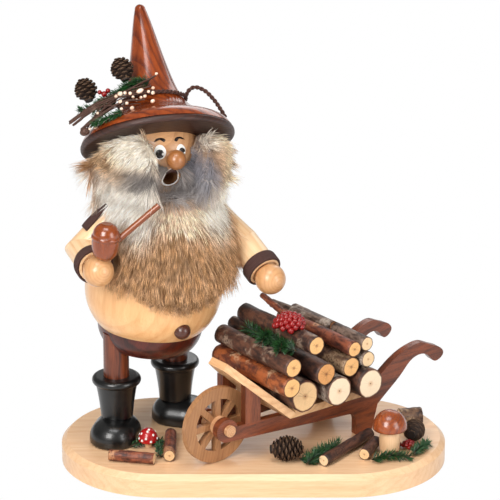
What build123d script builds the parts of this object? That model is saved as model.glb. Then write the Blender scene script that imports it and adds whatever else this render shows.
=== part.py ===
from build123d import *
import math
import os

# An incense smoker: a turned wooden gnome stands beside a loaded wheelbarrow on
# an oval-ended board. Sizes are in millimetres and angles in degrees. The board
# lies on Z = 0 with its middle at the origin, and its long front side faces -Y.

# Fits
glue_gap = 0.05             # left between two pieces that are glued together
soft_gap = 0.3              # left round fur, braid and greenery
running_gap = 0.08          # left all round a piece that turns or lifts off
overrun = 2.0               # how far a cut runs past the face that it opens

# Base board
base_length = 220.0
base_depth_share = 0.52727
base_depth = base_length * base_depth_share
base_thickness = 13.0
base_chamfer = 3.0

# Boots and legs. Each boot stands at a share of the board's half length and
# half depth, and its toe points along its own angle from +X.
boot_height = 38.5
boot_top_radius = 11.9
boot_ankle_radius = 9.2
boot_cuff_radius = 14.0
boot_cuff_height = 5.0
foot_width = 27.5
foot_length = 35.0
foot_height = 14.0
toe_round_share = 0.72
sole_round_share = 0.16
ankle_swell_share = 1.02
leg_sink_share = 1.5
leg_radius = 7.3
right_boot_shares = (-0.709, -0.050)
left_boot_shares = (-0.412, 0.405)
right_toe_angle = -103.0
left_toe_angle = -18.0

# Body. The seam between trousers and jacket is where the figure opens.
seam_shares = (-0.536, 0.181)
seam_height = 78.0
body_lean = 5.5
body_facing = 30.0          # turned from -Y towards +X
seam_radius = 30.0
trousers_height = 12.5
trousers_edge_share = 0.45
trousers_bulge_shares = (0.35, 0.62)
spigot_radius = 25.5
spigot_height = 5.0
dish_radius = 9.0
dish_height = 3.0
dish_wall = 0.8
dish_sink = 2.0
draught_radius = 3.8
torso_radius = 39.0
torso_height = 76.0
torso_wall = 5.0
torso_radius_shares = (0.770, 0.890, 0.974, 1.0, 0.985, 0.925, 0.822, 0.690, 0.520, 0.330)
torso_height_shares = (0.0, 0.079, 0.184, 0.290, 0.470, 0.630, 0.763, 0.868, 0.947, 1.0)
button_radius = 4.8
button_share = 0.12
button_reach_share = 0.93

# Head
head_radius = 23.0
head_shares = (-0.10, 0.0, 1.363)
face_turn = 21.8
neck_radius = 6.5
neck_bore = 4.2
neck_seat = 4.0
mouth_radius = 4.2
mouth_drop_share = 0.40
nose_radius = 5.6
nose_shares = (1.17, 8.0)   # reach in head radii, and angle above the level

# Hat
hat_back_tilt = 34.5
hat_left_tilt = 14.9
hat_rise = 3.5
brim_radius = 43.5
brim_thickness = 4.0
brim_round_share = 0.42
crown_height = 79.0
crown_radius_shares = (0.985, 0.86, 0.67, 0.505, 0.40, 0.335, 0.285, 0.235, 0.18, 0.12, 0.072)
crown_height_shares = (0.0, 0.08, 0.127, 0.185, 0.265, 0.35, 0.445, 0.56, 0.70, 0.86, 0.965)
crown_tip_radius = 3.1
hat_cord_radius = 1.25
hat_cord_stand = 1.65
loop_reach_shares = (0.50, 0.67, 0.82, 0.90)
loop_rise_shares = (3.4, 2.0, -4.0)
loop_end_share = 5.6
loop_bend_shares = (3.0, 4.5, 5.0)

# Arms: elbow and hand lie at shares of the torso's radius, radius and height
shoulder_reach_share = 0.69
shoulder_height_share = 0.909
right_elbow_shares = (-1.04, -0.526, 0.633)
right_hand_shares = (-0.80, -1.20, 0.607)
left_elbow_shares = (1.24, 0.244, 0.657)
left_hand_shares = (1.672, -0.295, 0.492)
sleeve_radius = 9.2
sleeve_recess_radius = 7.8
hand_radius = 8.7
hand_seat = 6.0             # from the sleeve's end to the middle of the hand
cuff_width = 7.0
cuff_thickness = 1.3
braid_length = 21.0
braid_thickness = 1.6
braid_angle = 110.0

# Pipe
pipe_bowl_radius = 8.3
pipe_bowl_height = 21.5
pipe_bead_radius = 1.7
pipe_stem_radius = 1.8
pipe_stem_length = 35.0
pipe_stem_start = 4.3       # how deep inside the bowl the stem begins, from its axis
pipe_stem_rise = 45.0
pipe_stem_turn = 10.0
pipe_shift_shares = (0.30, -0.08)
pipe_sink = 1.0
stem_height_share = 0.22
bead_height_share = 0.60
pipe_radius_shares = (0.42, 0.78, 0.91, 0.94, 0.93, 0.90, 0.70, 0.34)
pipe_height_shares = (0.0, 0.14, 0.34, 0.50, 0.60, 0.72, 0.88, 0.97)

# Fur
beard_radius_shares = (0.54, 0.66, 0.88, 1.10, 1.18, 1.15, 1.06)
beard_height_shares = (1.23, 1.13, 0.95, 0.72, 0.55, 0.40, 0.27)
beard_turn = 27.0
beard_half_width_shares = (0.50, 0.86, 1.02, 1.04, 0.86, 0.50, 0.0)
beard_width_height_shares = (1.24, 1.10, 0.92, 0.68, 0.48, 0.36, 0.30)
hair_radius_shares = (0.80, 1.60, 1.76, 1.74, 1.50, 1.10)
hair_height_shares = (0.62, 0.45, 0.05, -0.55, -1.15, -1.62)
face_half_width = 14.0
face_top_share = 1.35
face_bottom_share = 0.78

# Wheelbarrow. Its own frame runs from the axle towards the handles, and across
# from its middle plane towards the viewer, with heights above the board's top.
barrow_heading = 37.76
axle_shares = (-0.191, -0.633)
wheel_radius = 22.3
wheel_floor_gap = 0.3
wheel_thickness = 4.0
wheel_rim_width = 6.9
wheel_spokes = 8
spoke_width = 3.6
wheel_hub_radius = 5.6
hub_ring_gap = 0.9          # kept between a hub ring and the splayed rail beside it
axle_radius = 3.35
axle_length = 27.7
rail_splay = 5.4
rail_thickness = 4.7
rail_half_width = 12.0
rail_top = 24.0
rail_depth = 10.0
rail_end_radius = 6.75
handle_reach = 147.5
handle_height = 47.6
handle_start_gap = 2.57     # from the bed's end to where the handles begin to rise
handle_tip_share = 0.597
handle_top_shares = ((0.0, 0.0), (0.106, 0.163), (0.236, 0.435), (0.482, 0.859),
                     (0.611, 0.970), (0.723, 1.0), (0.858, 0.869), (0.961, 0.748))
handle_bottom_shares = ((0.902, 0.425), (0.806, 0.627), (0.702, 0.697), (0.598, 0.597),
                        (0.495, 0.334), (0.326, -0.049), (0.197, -0.331))
leg_front = 87.0
leg_back = 97.5
leg_arch_radius = 5.5
post_front = 12.0
post_back = 22.0
bed_front = 39.0
bed_back = 88.0
bed_half_width = 22.5
board_thickness = 4.4
front_board_length = 48.5
front_board_top_half_width = 7.0
front_board_slope = 43.0
front_board_foot = 35.4

# Load of cut branches
log_length = 66.0
log_gap = 0.12
bottom_log_radii = (9.6, 9.0, 9.1)
bottom_log_spaces = (0.4, 2.3, 2.4)
slope_log_radius = 6.1
slope_log_angle = 143.6
middle_log_radii = (6.8, 6.1)
side_log_radius = 4.8
inner_log_radii = (5.2, 4.2, 5.8)
upper_log_radius = 5.7
crest_log_radius = 5.6
back_log_radii = (4.7, 4.3, 4.3)
bottom_log_start_shares = (0.43, 0.50, 0.54)
slope_log_start_share = 0.49
middle_log_start_shares = (0.50, 0.47)
side_log_start_share = 0.50
inner_log_start_shares = (0.36, 0.33, 0.36)
upper_log_start_shares = (0.49, 0.50)
back_log_start_shares = (0.49, 0.49, 0.20)
crest_log_angle = 92.0
last_log_angle = 110.0
twig_radius = 2.3
twig_length = 28.0
twig_rise = 14.0
twig_angle = 35.0
load_sprig_length = 42.0
load_sprig_radius = 3.2

# Ground pieces. Places are shares of the board's half length and half depth, and
# sizes are shares of its length, so that the whole setting grows with the board.
toadstool_shares = (-0.544, -0.285)
toadstool_height_share = 0.05227
toadstool_stem_share = 0.009545
toadstool_cap_shares = (0.02545, 0.02364)          # radius and height
mushroom_shares = (0.700, -0.450)
mushroom_stem_height_share = 0.08636
mushroom_stem_radius_shares = (0.02636, 0.01864)
mushroom_swell_shares = (0.84, 0.28)
mushroom_cap_shares = (0.04364, 0.05227)          # radius and height
ground_log_radius_share = 0.01614
ground_log_length_shares = (0.1182, 0.1455, 0.2136, 0.09091)
ground_log_shares = ((-0.622, -0.669), (-0.430, -0.383), (0.480, -0.433), (0.600, -0.460))
ground_log_angles = (-12.0, 90.0, 55.0, 69.0)
stump_size_shares = (0.02545, 0.05909)           # radius and length
stump_shares = (0.823, 0.255)
stump_angle = 12.0
ground_cone_radius_shares = (0.03455, 0.02909)
ground_cone_length_shares = (0.09091, 0.07727)
cone_rows = 6
cone_waist_share = 0.74
cone_radius_shares = (0.62, 0.92, 1.0, 0.92, 0.72, 0.42)
ground_cone_shares = ((0.172, -0.630), (0.835, -0.130))
ground_cone_angles = (8.0, 75.0)
sprig_height_share = 0.025
sprig_round_share = 0.42
cap_lip_share = 0.16
cap_waist_share = 0.72
ground_sprig_shares = ((0.356, -0.564), (0.700, -0.645), (0.900, -0.400), (-0.484, -0.414))
ground_sprig_length_shares = (0.1545, 0.1, 0.06364, 0.1091)
ground_sprig_width_shares = (0.02955, 0.02955, 0.02727, 0.01818)
ground_sprig_angles = (55.0, 10.0, 80.0, 90.0)
ground_berry_radius_share = 0.005909
ground_berry_shares = (0.800, -0.345)
load_berry_radius = 2.1
load_berry_share = 0.14
bunch_core_share = 2.3
outer_berries = 8
inner_berries = 5

# Hat trimmings: places in the hat's own frame, in shares of the brim's radius
hat_cone_radius = 6.8
hat_cone_length = 14.5
hat_cone_shares = ((-0.264, -0.437, 0.772), (-0.782, -0.230, 0.640))
hat_cone_lean = 10.0
hat_sprig_radius = 2.6
hat_sprig_shares = ((-0.020, -0.434, 0.695), (-0.239, -0.418, 0.701), (-0.492, -0.276, 0.632),
                    (-0.763, -0.276, 0.572))
low_sprig_radius = 2.1
low_sprig_shares = ((-0.310, -0.943, 0.218), (-0.678, -0.759, 0.172))
hat_twig_radius = 1.1
hat_twig_shares = (((-0.897, -0.575, 0.184), (-0.322, -0.572, 0.563), (0.138, -0.517, 0.759)),
                   ((-1.034, -0.558, 0.299), (-0.552, -0.638, 0.494), (0.057, -0.615, 0.598)),
                   ((-0.851, -0.644, 0.184), (-0.368, -0.713, 0.402), (-0.034, -0.713, 0.402)))
bead_radius = 1.2
beads_per_twig = 4


def points_by_shares(radius, radius_shares, height, height_shares):
    """Outline points of a turned piece, from the foot upwards."""
    return [(radius * r, height * h) for r, h in zip(radius_shares, height_shares)]


def turned(points):
    """Solid of revolution about Z whose side runs smoothly through the points."""
    side = Spline(*[(r, 0, h) for r, h in points])
    low, high = points[0], points[-1]
    closing = Polyline((high[0], 0, high[1]), (0, 0, high[1]), (0, 0, low[1]), (low[0], 0, low[1]))
    return revolve(make_face(side + closing), Axis.Z)


def stacked(points):
    """Solid of revolution about Z with straight faces between the points."""
    outline = [(r, 0, h) for r, h in points]
    return revolve(make_face(Polyline(*outline, close=True)), Axis.Z)


def rod(start, end, radius):
    """Round bar from one point to another."""
    way = Vector(*end) - Vector(*start)
    bar = Cylinder(radius, way.length, align=(Align.CENTER, Align.CENTER, Align.MIN))
    return Plane(origin=start, z_dir=way).location * bar


def ball(centre, radius):
    return Pos(*centre) * Sphere(radius)


def beyond(origin, direction, size):
    """Everything on the far side of a plane, out to a given size."""
    block = Box(size, size, size, align=(Align.CENTER, Align.CENTER, Align.MIN))
    return Plane(origin=origin, z_dir=direction).location * block


def capsule(start, end, radius):
    """Plain soft form: a bar with round ends."""
    return rod(start, end, radius) + ball(start, radius) + ball(end, radius)


def on_board(shares, height=0.0):
    """A point over the board, from shares of its half length and half depth."""
    x = shares[0] * base_length / 2
    y = shares[1] * base_depth / 2
    return (x, y, base_thickness + height)


def along(start, direction, distance):
    step = Vector(*direction).normalized() * distance
    return tuple(Vector(*start) + step)


def of_board(shares):
    """Sizes of the ground pieces, from shares of the board's length."""
    return [base_length * share for share in shares]


def save(name, *pieces):
    """Write the solids of one node to its own file."""
    solids = [solid for piece in pieces for solid in piece.solids()]
    shape = solids[0] if len(solids) == 1 else Compound(children=solids)
    export_step(shape, "parts/" + name + ".step")


os.makedirs("parts", exist_ok=True)

# Base board: one oval-ended plank with its upper edge chamfered all round
board = extrude(SlotOverall(base_length, base_depth), base_thickness)
board = chamfer(board.faces().sort_by(Axis.Z)[-1].edges(), base_chamfer)
save("base_board", board)


# Boots: a turned shaft with a rolled cuff stands in a rounded foot
def boot_foot():
    toe_shift = (foot_length - foot_width) / 2
    shape = extrude(SlotOverall(foot_length, foot_width), foot_height)
    shape = Pos(toe_shift, 0, 0) * shape
    top = shape.faces().sort_by(Axis.Z)[-1].edges()
    shape = fillet(top, foot_height * toe_round_share)
    sole = shape.faces().sort_by(Axis.Z)[0].edges()
    return fillet(sole, foot_height * sole_round_share)


def boot_shaft():
    roll = boot_cuff_height / 2
    rim = boot_height - roll
    outline = [
        (boot_ankle_radius, foot_height + glue_gap),
        (boot_ankle_radius * ankle_swell_share, foot_height + boot_cuff_height / 2),
        (boot_top_radius, rim - roll),
    ]
    shaft = turned(outline)
    cuff = Pos(0, 0, rim) * Torus(boot_cuff_radius - roll, roll)
    core = Pos(0, 0, rim) * Cylinder(boot_cuff_radius - roll, boot_cuff_height)
    bore = Cylinder(leg_radius + glue_gap, boot_height, align=(Align.CENTER, Align.CENTER, Align.MIN))
    return shaft + core + cuff - Pos(0, 0, rim - boot_cuff_height) * bore


seam = (seam_shares[0] * base_length / 2, seam_shares[1] * base_depth / 2, seam_height)
lean = math.radians(body_lean)
figure = Plane(origin=seam, x_dir=(math.cos(lean), 0, -math.sin(lean)),
               z_dir=(math.sin(lean), 0, math.cos(lean)))


def trousers_body(grow=0.0):
    """Outside of the trousers, in the figure's own frame, grown by a gap."""
    radius = seam_radius + grow
    depth = trousers_height + grow
    edge = trousers_height * trousers_edge_share
    bulge_in, bulge_down = edge * trousers_bulge_shares[0], depth * trousers_bulge_shares[1]
    side = ThreePointArc((radius - edge, 0, -depth), (radius - bulge_in, 0, -bulge_down),
                         (radius, 0, 0))
    closing = Polyline((radius, 0, 0), (0, 0, 0), (0, 0, -depth), (radius - edge, 0, -depth))
    return revolve(make_face(side + closing), Axis.Z)


leg_hollow = figure.location * trousers_body(glue_gap)
for side_name, shares, toe_angle in (("right", right_boot_shares, right_toe_angle),
                                     ("left", left_boot_shares, left_toe_angle)):
    stand = Pos(*on_board(shares))
    save(side_name + "_boot_foot", stand * Rot(Z=toe_angle) * boot_foot())
    save(side_name + "_boot_shaft", stand * boot_shaft())
    leg_foot = boot_height - boot_cuff_height * leg_sink_share
    leg_start = on_board(shares, leg_foot + glue_gap)
    leg_end = (leg_start[0], leg_start[1], seam_height)
    save(side_name + "_leg", (rod(leg_start, leg_end, leg_radius) - leg_hollow).solids().sort_by(Axis.Z)[0])

# Trousers: a shallow turned bowl with a spigot for the jacket, a seat for the
# incense dish and a draught hole from below
spigot = Cylinder(spigot_radius, spigot_height, align=(Align.CENTER, Align.CENTER, Align.MIN))
seat = Pos(0, 0, spigot_height - dish_sink) * Cylinder(
    dish_radius + glue_gap, dish_sink + overrun, align=(Align.CENTER, Align.CENTER, Align.MIN))
draught_reach = (dish_radius + spigot_radius) / 2
draught = Pos(0, draught_reach, -trousers_height / 2) * Cylinder(
    draught_radius, (trousers_height + spigot_height) * 2)
trousers = trousers_body() + spigot - seat - draught
save("trousers", figure.location * trousers)

# Incense dish: a small pressed metal cup under the smoking cone
dish_floor = spigot_height - dish_sink + glue_gap
dish = Cylinder(dish_radius, dish_height, align=(Align.CENTER, Align.CENTER, Align.MIN))
dish -= Pos(0, 0, dish_wall) * Cylinder(dish_radius - dish_wall, dish_height,
                                        align=(Align.CENTER, Align.CENTER, Align.MIN))
save("incense_dish", figure.location * Pos(0, 0, dish_floor) * dish)


# Jacket: hollow turned body, open below, bored above for the neck
def torso_body(grow=0.0):
    """Outside of the jacket, grown or, with a negative size, shrunk all round."""
    points = points_by_shares(torso_radius, torso_radius_shares, torso_height, torso_height_shares)
    stretch = (torso_height + 2 * grow) / torso_height
    moved = [(r + grow, h * stretch - grow) for r, h in points]
    return turned(moved)


head_centre = (head_shares[0] * torso_radius, head_shares[1] * torso_radius,
               head_shares[2] * torso_height)
neck_start = (0, 0, torso_height - torso_wall)
neck_way = tuple(Vector(*head_centre) - Vector(*neck_start))
neck_end = along(head_centre, neck_way, neck_seat - head_radius)
seam_lift = Pos(0, 0, glue_gap)
torso = torso_body() - torso_body(-torso_wall)
torso -= Cylinder(spigot_radius + running_gap, torso_wall * 3)
torso -= rod(along(neck_start, neck_way, -torso_wall), neck_end, neck_radius + glue_gap)
button_height = torso_height * button_share
button_reach = torso_radius * button_reach_share
button_point = (button_reach * math.sin(math.radians(body_facing)),
                -button_reach * math.cos(math.radians(body_facing)), button_height)
save("torso", figure.location * seam_lift * torso)

# Half-ball button, seated on the jacket's front
button = ball(button_point, button_radius) - torso_body(glue_gap)
save("coat_button", figure.location * seam_lift * button)

# Neck peg, bored through for the smoke
neck = rod(neck_start, neck_end, neck_radius) - rod(
    along(neck_start, neck_way, -overrun), along(neck_end, neck_way, overrun), neck_bore)
save("neck_peg", figure.location * seam_lift * neck)

# Head: a ball with the smoke channel up from the neck and out at the mouth
turn = math.radians(face_turn)
face_way = (math.sin(turn), -math.cos(turn), 0)
mouth_centre = (head_centre[0], head_centre[1], head_centre[2] - mouth_drop_share * head_radius)
channel_top = along(mouth_centre, neck_way, mouth_radius)
head = ball(head_centre, head_radius)
head -= rod(along(neck_end, neck_way, -head_radius), along(neck_end, neck_way, glue_gap),
            neck_radius + glue_gap)
head -= rod(neck_end, channel_top, neck_bore)
head -= rod(mouth_centre, along(mouth_centre, face_way, head_radius + overrun), mouth_radius)
save("head", figure.location * seam_lift * head)

# Nose: a small ball bedded in the face
nose_lift = math.radians(nose_shares[1])
nose_way = (face_way[0] * math.cos(nose_lift), face_way[1] * math.cos(nose_lift), math.sin(nose_lift))
nose = ball(along(head_centre, nose_way, head_radius * nose_shares[0]), nose_radius)
nose -= ball(head_centre, head_radius + glue_gap)
save("nose", figure.location * seam_lift * nose)

# Hat: a dark brim ring under a tall flared crown, both hollowed for the head
back, left = math.radians(hat_back_tilt), math.radians(hat_left_tilt)
hat_way = (-math.cos(back) * math.sin(left), math.sin(back), math.cos(back) * math.cos(left))
hat_foot = along(head_centre, hat_way, hat_rise)
hat_side = Vector(0, 1, 0).cross(Vector(*hat_way))
hat = Plane(origin=hat_foot, x_dir=hat_side, z_dir=hat_way)
head_hollow = Pos(0, 0, -hat_rise) * Sphere(head_radius + glue_gap)
brim = Cylinder(brim_radius, brim_thickness, align=(Align.CENTER, Align.CENTER, Align.MIN))
brim = fillet(brim.edges(), brim_thickness * brim_round_share) - head_hollow
crown_points = points_by_shares(brim_radius, crown_radius_shares, crown_height, crown_height_shares)
tip_height = crown_height * crown_height_shares[-1]
crown = turned(crown_points) + Pos(0, 0, tip_height) * Sphere(crown_tip_radius)
crown = Pos(0, 0, brim_thickness) * crown - head_hollow
in_hat = figure.location * seam_lift * hat.location
save("hat_brim", in_hat * brim)
save("hat_crown", in_hat * crown)

# Hat cord: a ring round the foot of the crown, with a loop to the brim's edge
cord_height = brim_thickness + crown_height * crown_height_shares[4]
cord_reach = brim_radius * crown_radius_shares[4] + hat_cord_stand
loop_heights = [cord_height + hat_cord_radius * share for share in loop_rise_shares]
loop_heights.append(brim_thickness + hat_cord_radius * loop_end_share)
loop_route = [(cord_reach, 0, cord_height)]
for reach_share, height in zip(loop_reach_shares, loop_heights):
    loop_route.append((brim_radius * reach_share, 0, height))
loop_radii = [hat_cord_radius * share for share in loop_bend_shares]
loop_line = FilletPolyline(*loop_route, radius=loop_radii)
loop_section = Plane(origin=loop_line @ 0, z_dir=loop_line % 0) * Circle(hat_cord_radius)
hat_cord = Pos(0, 0, cord_height) * Torus(cord_reach, hat_cord_radius)
hat_cord += sweep(loop_section, path=loop_line)
save("hat_cord", in_hat * hat_cord)


# Arms: each is two wooden sleeves mitred at the elbow, with a woven ribbon as
# cuff and a ball for the hand, glued into a recess in the sleeve's end
def body_point(shares):
    """A point beside the torso, from shares of its radius, radius and height."""
    return (shares[0] * torso_radius, shares[1] * torso_radius, shares[2] * torso_height)


def arm_lines(side, elbow_shares, hand_shares):
    """Shoulder, elbow, hand and sleeve end of one arm; side is 1 for the left."""
    facing = math.radians(body_facing)
    reach = side * shoulder_reach_share * torso_radius
    shoulder = (reach * math.cos(facing), reach * math.sin(facing),
                shoulder_height_share * torso_height)
    elbow = body_point(elbow_shares)
    hand = body_point(hand_shares)
    reach_way = tuple(Vector(*hand) - Vector(*elbow))
    sleeve_end = along(hand, reach_way, -hand_seat)
    return shoulder, elbow, hand, sleeve_end


def mitre_way(shoulder, elbow, hand):
    upper = (Vector(*elbow) - Vector(*shoulder)).normalized()
    lower = (Vector(*hand) - Vector(*elbow)).normalized()
    return tuple(upper + lower)


def arm(shoulder, elbow, hand, sleeve_end):
    """Upper sleeve, forearm sleeve, cuff ring and hand of one arm."""
    upper_way = tuple(Vector(*elbow) - Vector(*shoulder))
    lower_way = tuple(Vector(*hand) - Vector(*elbow))
    joint = mitre_way(shoulder, elbow, hand)
    size = torso_height * 2
    past = sleeve_radius * 2
    upper = rod(shoulder, along(elbow, upper_way, past), sleeve_radius)
    upper += ball(shoulder, sleeve_radius)
    upper -= beyond(elbow, joint, size)
    upper -= torso_body(glue_gap)
    upper = upper.solids().sort_by(SortBy.VOLUME)[-1]
    back_way = tuple(-Vector(*joint))
    lower = rod(along(elbow, lower_way, -past), sleeve_end, sleeve_radius)
    lower -= beyond(along(elbow, joint, glue_gap), back_way, size)
    recess = along(sleeve_end, lower_way, (hand_seat - hand_radius) / 2)
    lower -= rod(recess, hand, sleeve_recess_radius)
    lower -= ball(hand, hand_radius + glue_gap)
    cuff_start = along(sleeve_end, lower_way, -cuff_width)
    cuff = rod(cuff_start, sleeve_end, sleeve_radius + soft_gap + cuff_thickness)
    cuff -= rod(along(cuff_start, lower_way, -overrun), hand, sleeve_radius + soft_gap)
    return upper, lower, cuff, ball(hand, hand_radius)


def arm_room(shoulder, elbow, hand, sleeve_end):
    """Space that the fur keeps clear round one arm."""
    around = sleeve_radius + soft_gap
    over_cuff = sleeve_radius + 2 * soft_gap + cuff_thickness
    cuff_start = along(sleeve_end, tuple(Vector(*hand) - Vector(*elbow)), -cuff_width - soft_gap)
    room = capsule(shoulder, elbow, around) + rod(elbow, sleeve_end, around)
    return room + rod(cuff_start, hand, over_cuff) + ball(hand, hand_radius + soft_gap)


upper_frame = figure.location * seam_lift
right_arm = arm_lines(-1, right_elbow_shares, right_hand_shares)
left_arm = arm_lines(1, left_elbow_shares, left_hand_shares)
for side_name, lines in (("right", right_arm), ("left", left_arm)):
    for piece_name, piece in zip(("upper_sleeve", "forearm_sleeve", "cuff", "hand"), arm(*lines)):
        save(side_name + "_" + piece_name, upper_frame * piece)

# Shoulder braid: a woven strip laid over the right upper sleeve
braid_way = tuple(Vector(*right_arm[1]) - Vector(*right_arm[0]))
braid_frame = Plane(origin=right_arm[1], x_dir=(-1, 0, 0), z_dir=braid_way)


def braid_strip(grow):
    """The strip, or the room round it when a gap is given."""
    inner = sleeve_radius + soft_gap - grow
    outer = sleeve_radius + soft_gap + braid_thickness + grow
    tube = Cylinder(outer, braid_length + 2 * grow) - Cylinder(inner, braid_length + overrun)
    wedge_reach = outer * 2
    half = math.radians(braid_angle / 2)
    wedge = Polyline((0, 0), (wedge_reach * math.cos(half), wedge_reach * math.sin(half)),
                     (wedge_reach * math.cos(half), -wedge_reach * math.sin(half)), close=True)
    sector = extrude(make_face(wedge), braid_length + overrun, both=True)
    strip = braid_frame.location * Pos(0, 0, -braid_length / 2 - sleeve_radius) * (tube & sector)
    return strip - torso_body(soft_gap)


save("shoulder_braid", upper_frame * braid_strip(0))

# Pipe: an acorn-shaped bowl on the right hand, with a straight rising stem
hand_centre = right_arm[2]
bowl_foot = (hand_centre[0] + pipe_shift_shares[0] * hand_radius,
             hand_centre[1] + pipe_shift_shares[1] * hand_radius,
             hand_centre[2] + hand_radius - pipe_sink)
bowl = turned(points_by_shares(pipe_bowl_radius, pipe_radius_shares,
                               pipe_bowl_height, pipe_height_shares))
bead_reach = pipe_bowl_radius - pipe_bead_radius
bowl += Pos(0, 0, pipe_bowl_height * bead_height_share) * Torus(bead_reach, pipe_bead_radius)
bowl = Pos(*bowl_foot) * bowl
stem_rise, stem_turn = math.radians(pipe_stem_rise), math.radians(pipe_stem_turn)
stem_way = (math.cos(stem_rise) * math.cos(stem_turn), math.cos(stem_rise) * math.sin(stem_turn),
            math.sin(stem_rise))
stem_axis_point = (bowl_foot[0], bowl_foot[1], bowl_foot[2] + pipe_bowl_height * stem_height_share)
stem_start = along(stem_axis_point, stem_way, pipe_stem_start)
stem_end = along(stem_start, stem_way, pipe_stem_length)
bowl -= ball(hand_centre, hand_radius + glue_gap)
bowl -= rod(along(stem_start, stem_way, -glue_gap), stem_end, pipe_stem_radius + glue_gap)
save("pipe_bowl", upper_frame * bowl)
save("pipe_stem", upper_frame * rod(stem_start, stem_end, pipe_stem_radius))

# Fur: a plain closed shape for the beard, and one for the hair round the head
beard_facing = math.radians(beard_turn)
beard_way = (math.sin(beard_facing), -math.cos(beard_facing), 0)
fur_size = torso_height * 2
fur_top = head_centre[2] - mouth_drop_share * head_radius
beard = turned(points_by_shares(torso_radius, beard_radius_shares, torso_height, beard_height_shares))
front_outline = points_by_shares(torso_radius, beard_half_width_shares,
                                 torso_height, beard_width_height_shares)
mirrored = [(-r, h) for r, h in reversed(front_outline[:-1])]
front = extrude(make_face(Polyline(*(front_outline + mirrored), close=True)), fur_size, dir=(0, 0, 1))
front_plane = Plane(origin=along((0, 0, 0), beard_way, soft_gap),
                    x_dir=Vector(0, 0, 1).cross(Vector(*beard_way)), z_dir=beard_way)
face_frame = Plane(origin=head_centre, x_dir=Vector(0, 0, 1).cross(Vector(*face_way)), z_dir=face_way)
window_height = (face_top_share + face_bottom_share) * head_radius
window = Box(face_half_width * 2, window_height, fur_size,
             align=(Align.CENTER, Align.MIN, Align.MIN))
window = face_frame.location * Pos(0, -face_bottom_share * head_radius, 0) * window
fur_room = [torso_body(soft_gap), ball(head_centre, head_radius + soft_gap),
            rod(neck_start, neck_end, neck_radius + soft_gap), window,
            arm_room(*right_arm), arm_room(*left_arm), braid_strip(soft_gap),
            ball(along(head_centre, nose_way, head_radius * nose_shares[0]), nose_radius + soft_gap)]


def combed(shape):
    """Cut away everything that the fur keeps clear of, and keep the main lump."""
    for room in fur_room:
        shape -= room
    return shape.solids().sort_by(SortBy.VOLUME)[-1]


beard &= front_plane.location * front
beard -= beyond((0, 0, fur_top), (0, 0, 1), fur_size)
save("beard", upper_frame * combed(beard))
hair = turned(points_by_shares(head_radius, hair_radius_shares, head_radius, hair_height_shares))
hair = Pos(*head_centre) * hair
under_top = Pos(0, 0, fur_top + soft_gap) * Box(
    fur_size, fur_size, fur_size, align=(Align.CENTER, Align.CENTER, Align.MAX))
hair -= under_top & beyond((0, 0, fur_top), beard_way, fur_size)
hair -= hat.location * beyond((0, 0, -soft_gap), (0, 0, 1), fur_size)
save("hair", upper_frame * combed(hair))


# Wheelbarrow: everything below is placed in the barrow's own frame, which has
# -Y towards the viewer, so a reach across the barrow is minus Y
axle_foot = on_board(axle_shares)
heading = math.radians(barrow_heading)
barrow = Plane(origin=axle_foot, x_dir=(math.cos(heading), math.sin(heading), 0), z_dir=(0, 0, 1))
axle_height = wheel_radius + wheel_floor_gap
side_plane = Plane(origin=(0, 0, 0), x_dir=(1, 0, 0), z_dir=(0, -1, 0))
across = Rot(X=90)

# Wheel: eight sawn spokes between rim and hub, on a dowel through both rails
wheel = Cylinder(wheel_radius, wheel_thickness)
opening_radius = wheel_radius - wheel_rim_width
spoke_openings = Cylinder(opening_radius, wheel_thickness * 2)
spoke_openings -= Cylinder(wheel_hub_radius, wheel_thickness * 2)
for spoke in range(wheel_spokes):
    turn_now = 360 * spoke / wheel_spokes
    spoke_openings -= Rot(Z=turn_now) * Box(wheel_radius, spoke_width, wheel_thickness * 2,
                                           align=(Align.MIN, Align.CENTER, Align.CENTER))
wheel -= spoke_openings
wheel -= Cylinder(axle_radius + running_gap, wheel_thickness * 2)
at_axle = barrow.location * Pos(0, 0, axle_height) * across
save("barrow_wheel", at_axle * wheel)
hub_outer = rail_half_width - rail_thickness - hub_ring_gap
hub_inner = wheel_thickness / 2 + glue_gap
hub_ring = Cylinder(wheel_hub_radius, hub_outer - hub_inner,
                    align=(Align.CENTER, Align.CENTER, Align.MIN))
hub_ring -= Cylinder(axle_radius + running_gap, hub_outer * 2)
hub_rings = [Rot(X=flip) * Pos(0, 0, hub_inner) * hub_ring for flip in (0, 180)]
save("hub_rings", *[at_axle * ring for ring in hub_rings])
save("wheel_axle", at_axle * Cylinder(axle_radius, axle_length))

# Rails: two sawn plates with a round end at the axle, a leg, and a handle that
# curves up; they spread apart towards the handles
handle_start = bed_back + handle_start_gap


def handle_point(shares):
    """A point of the handle, from shares of its own length and its rise over the rail."""
    run, rise = handle_reach - handle_start, handle_height - rail_top
    return (handle_start + run * shares[0], rail_top + rise * shares[1])


handle_top = [handle_point(shares) for shares in handle_top_shares]
handle_bottom = [handle_point(shares) for shares in handle_bottom_shares]
handle_tip = handle_point((1, handle_tip_share))
rail_bottom = rail_top - rail_depth
arch_middle = (leg_front - leg_arch_radius, rail_bottom - leg_arch_radius)
arch_bend = leg_arch_radius * math.sqrt(1 / 2)
arch_start = (leg_front, arch_middle[1])
arch_end = (arch_middle[0], rail_bottom)
rail_outline = Line((0, rail_top), handle_top[0])
rail_outline += Spline(*(handle_top + [handle_tip] + handle_bottom))
rail_outline += Polyline(handle_bottom[-1], (leg_back, glue_gap), (leg_front, glue_gap), arch_start)
rail_outline += ThreePointArc(arch_start, (arch_middle[0] + arch_bend, arch_middle[1] + arch_bend),
                              arch_end)
rail_outline += Polyline(arch_end, (0, axle_height - rail_end_radius), (0, rail_top))
rail = side_plane.location * extrude(make_face(rail_outline), rail_thickness, dir=(0, 0, 1))
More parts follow.
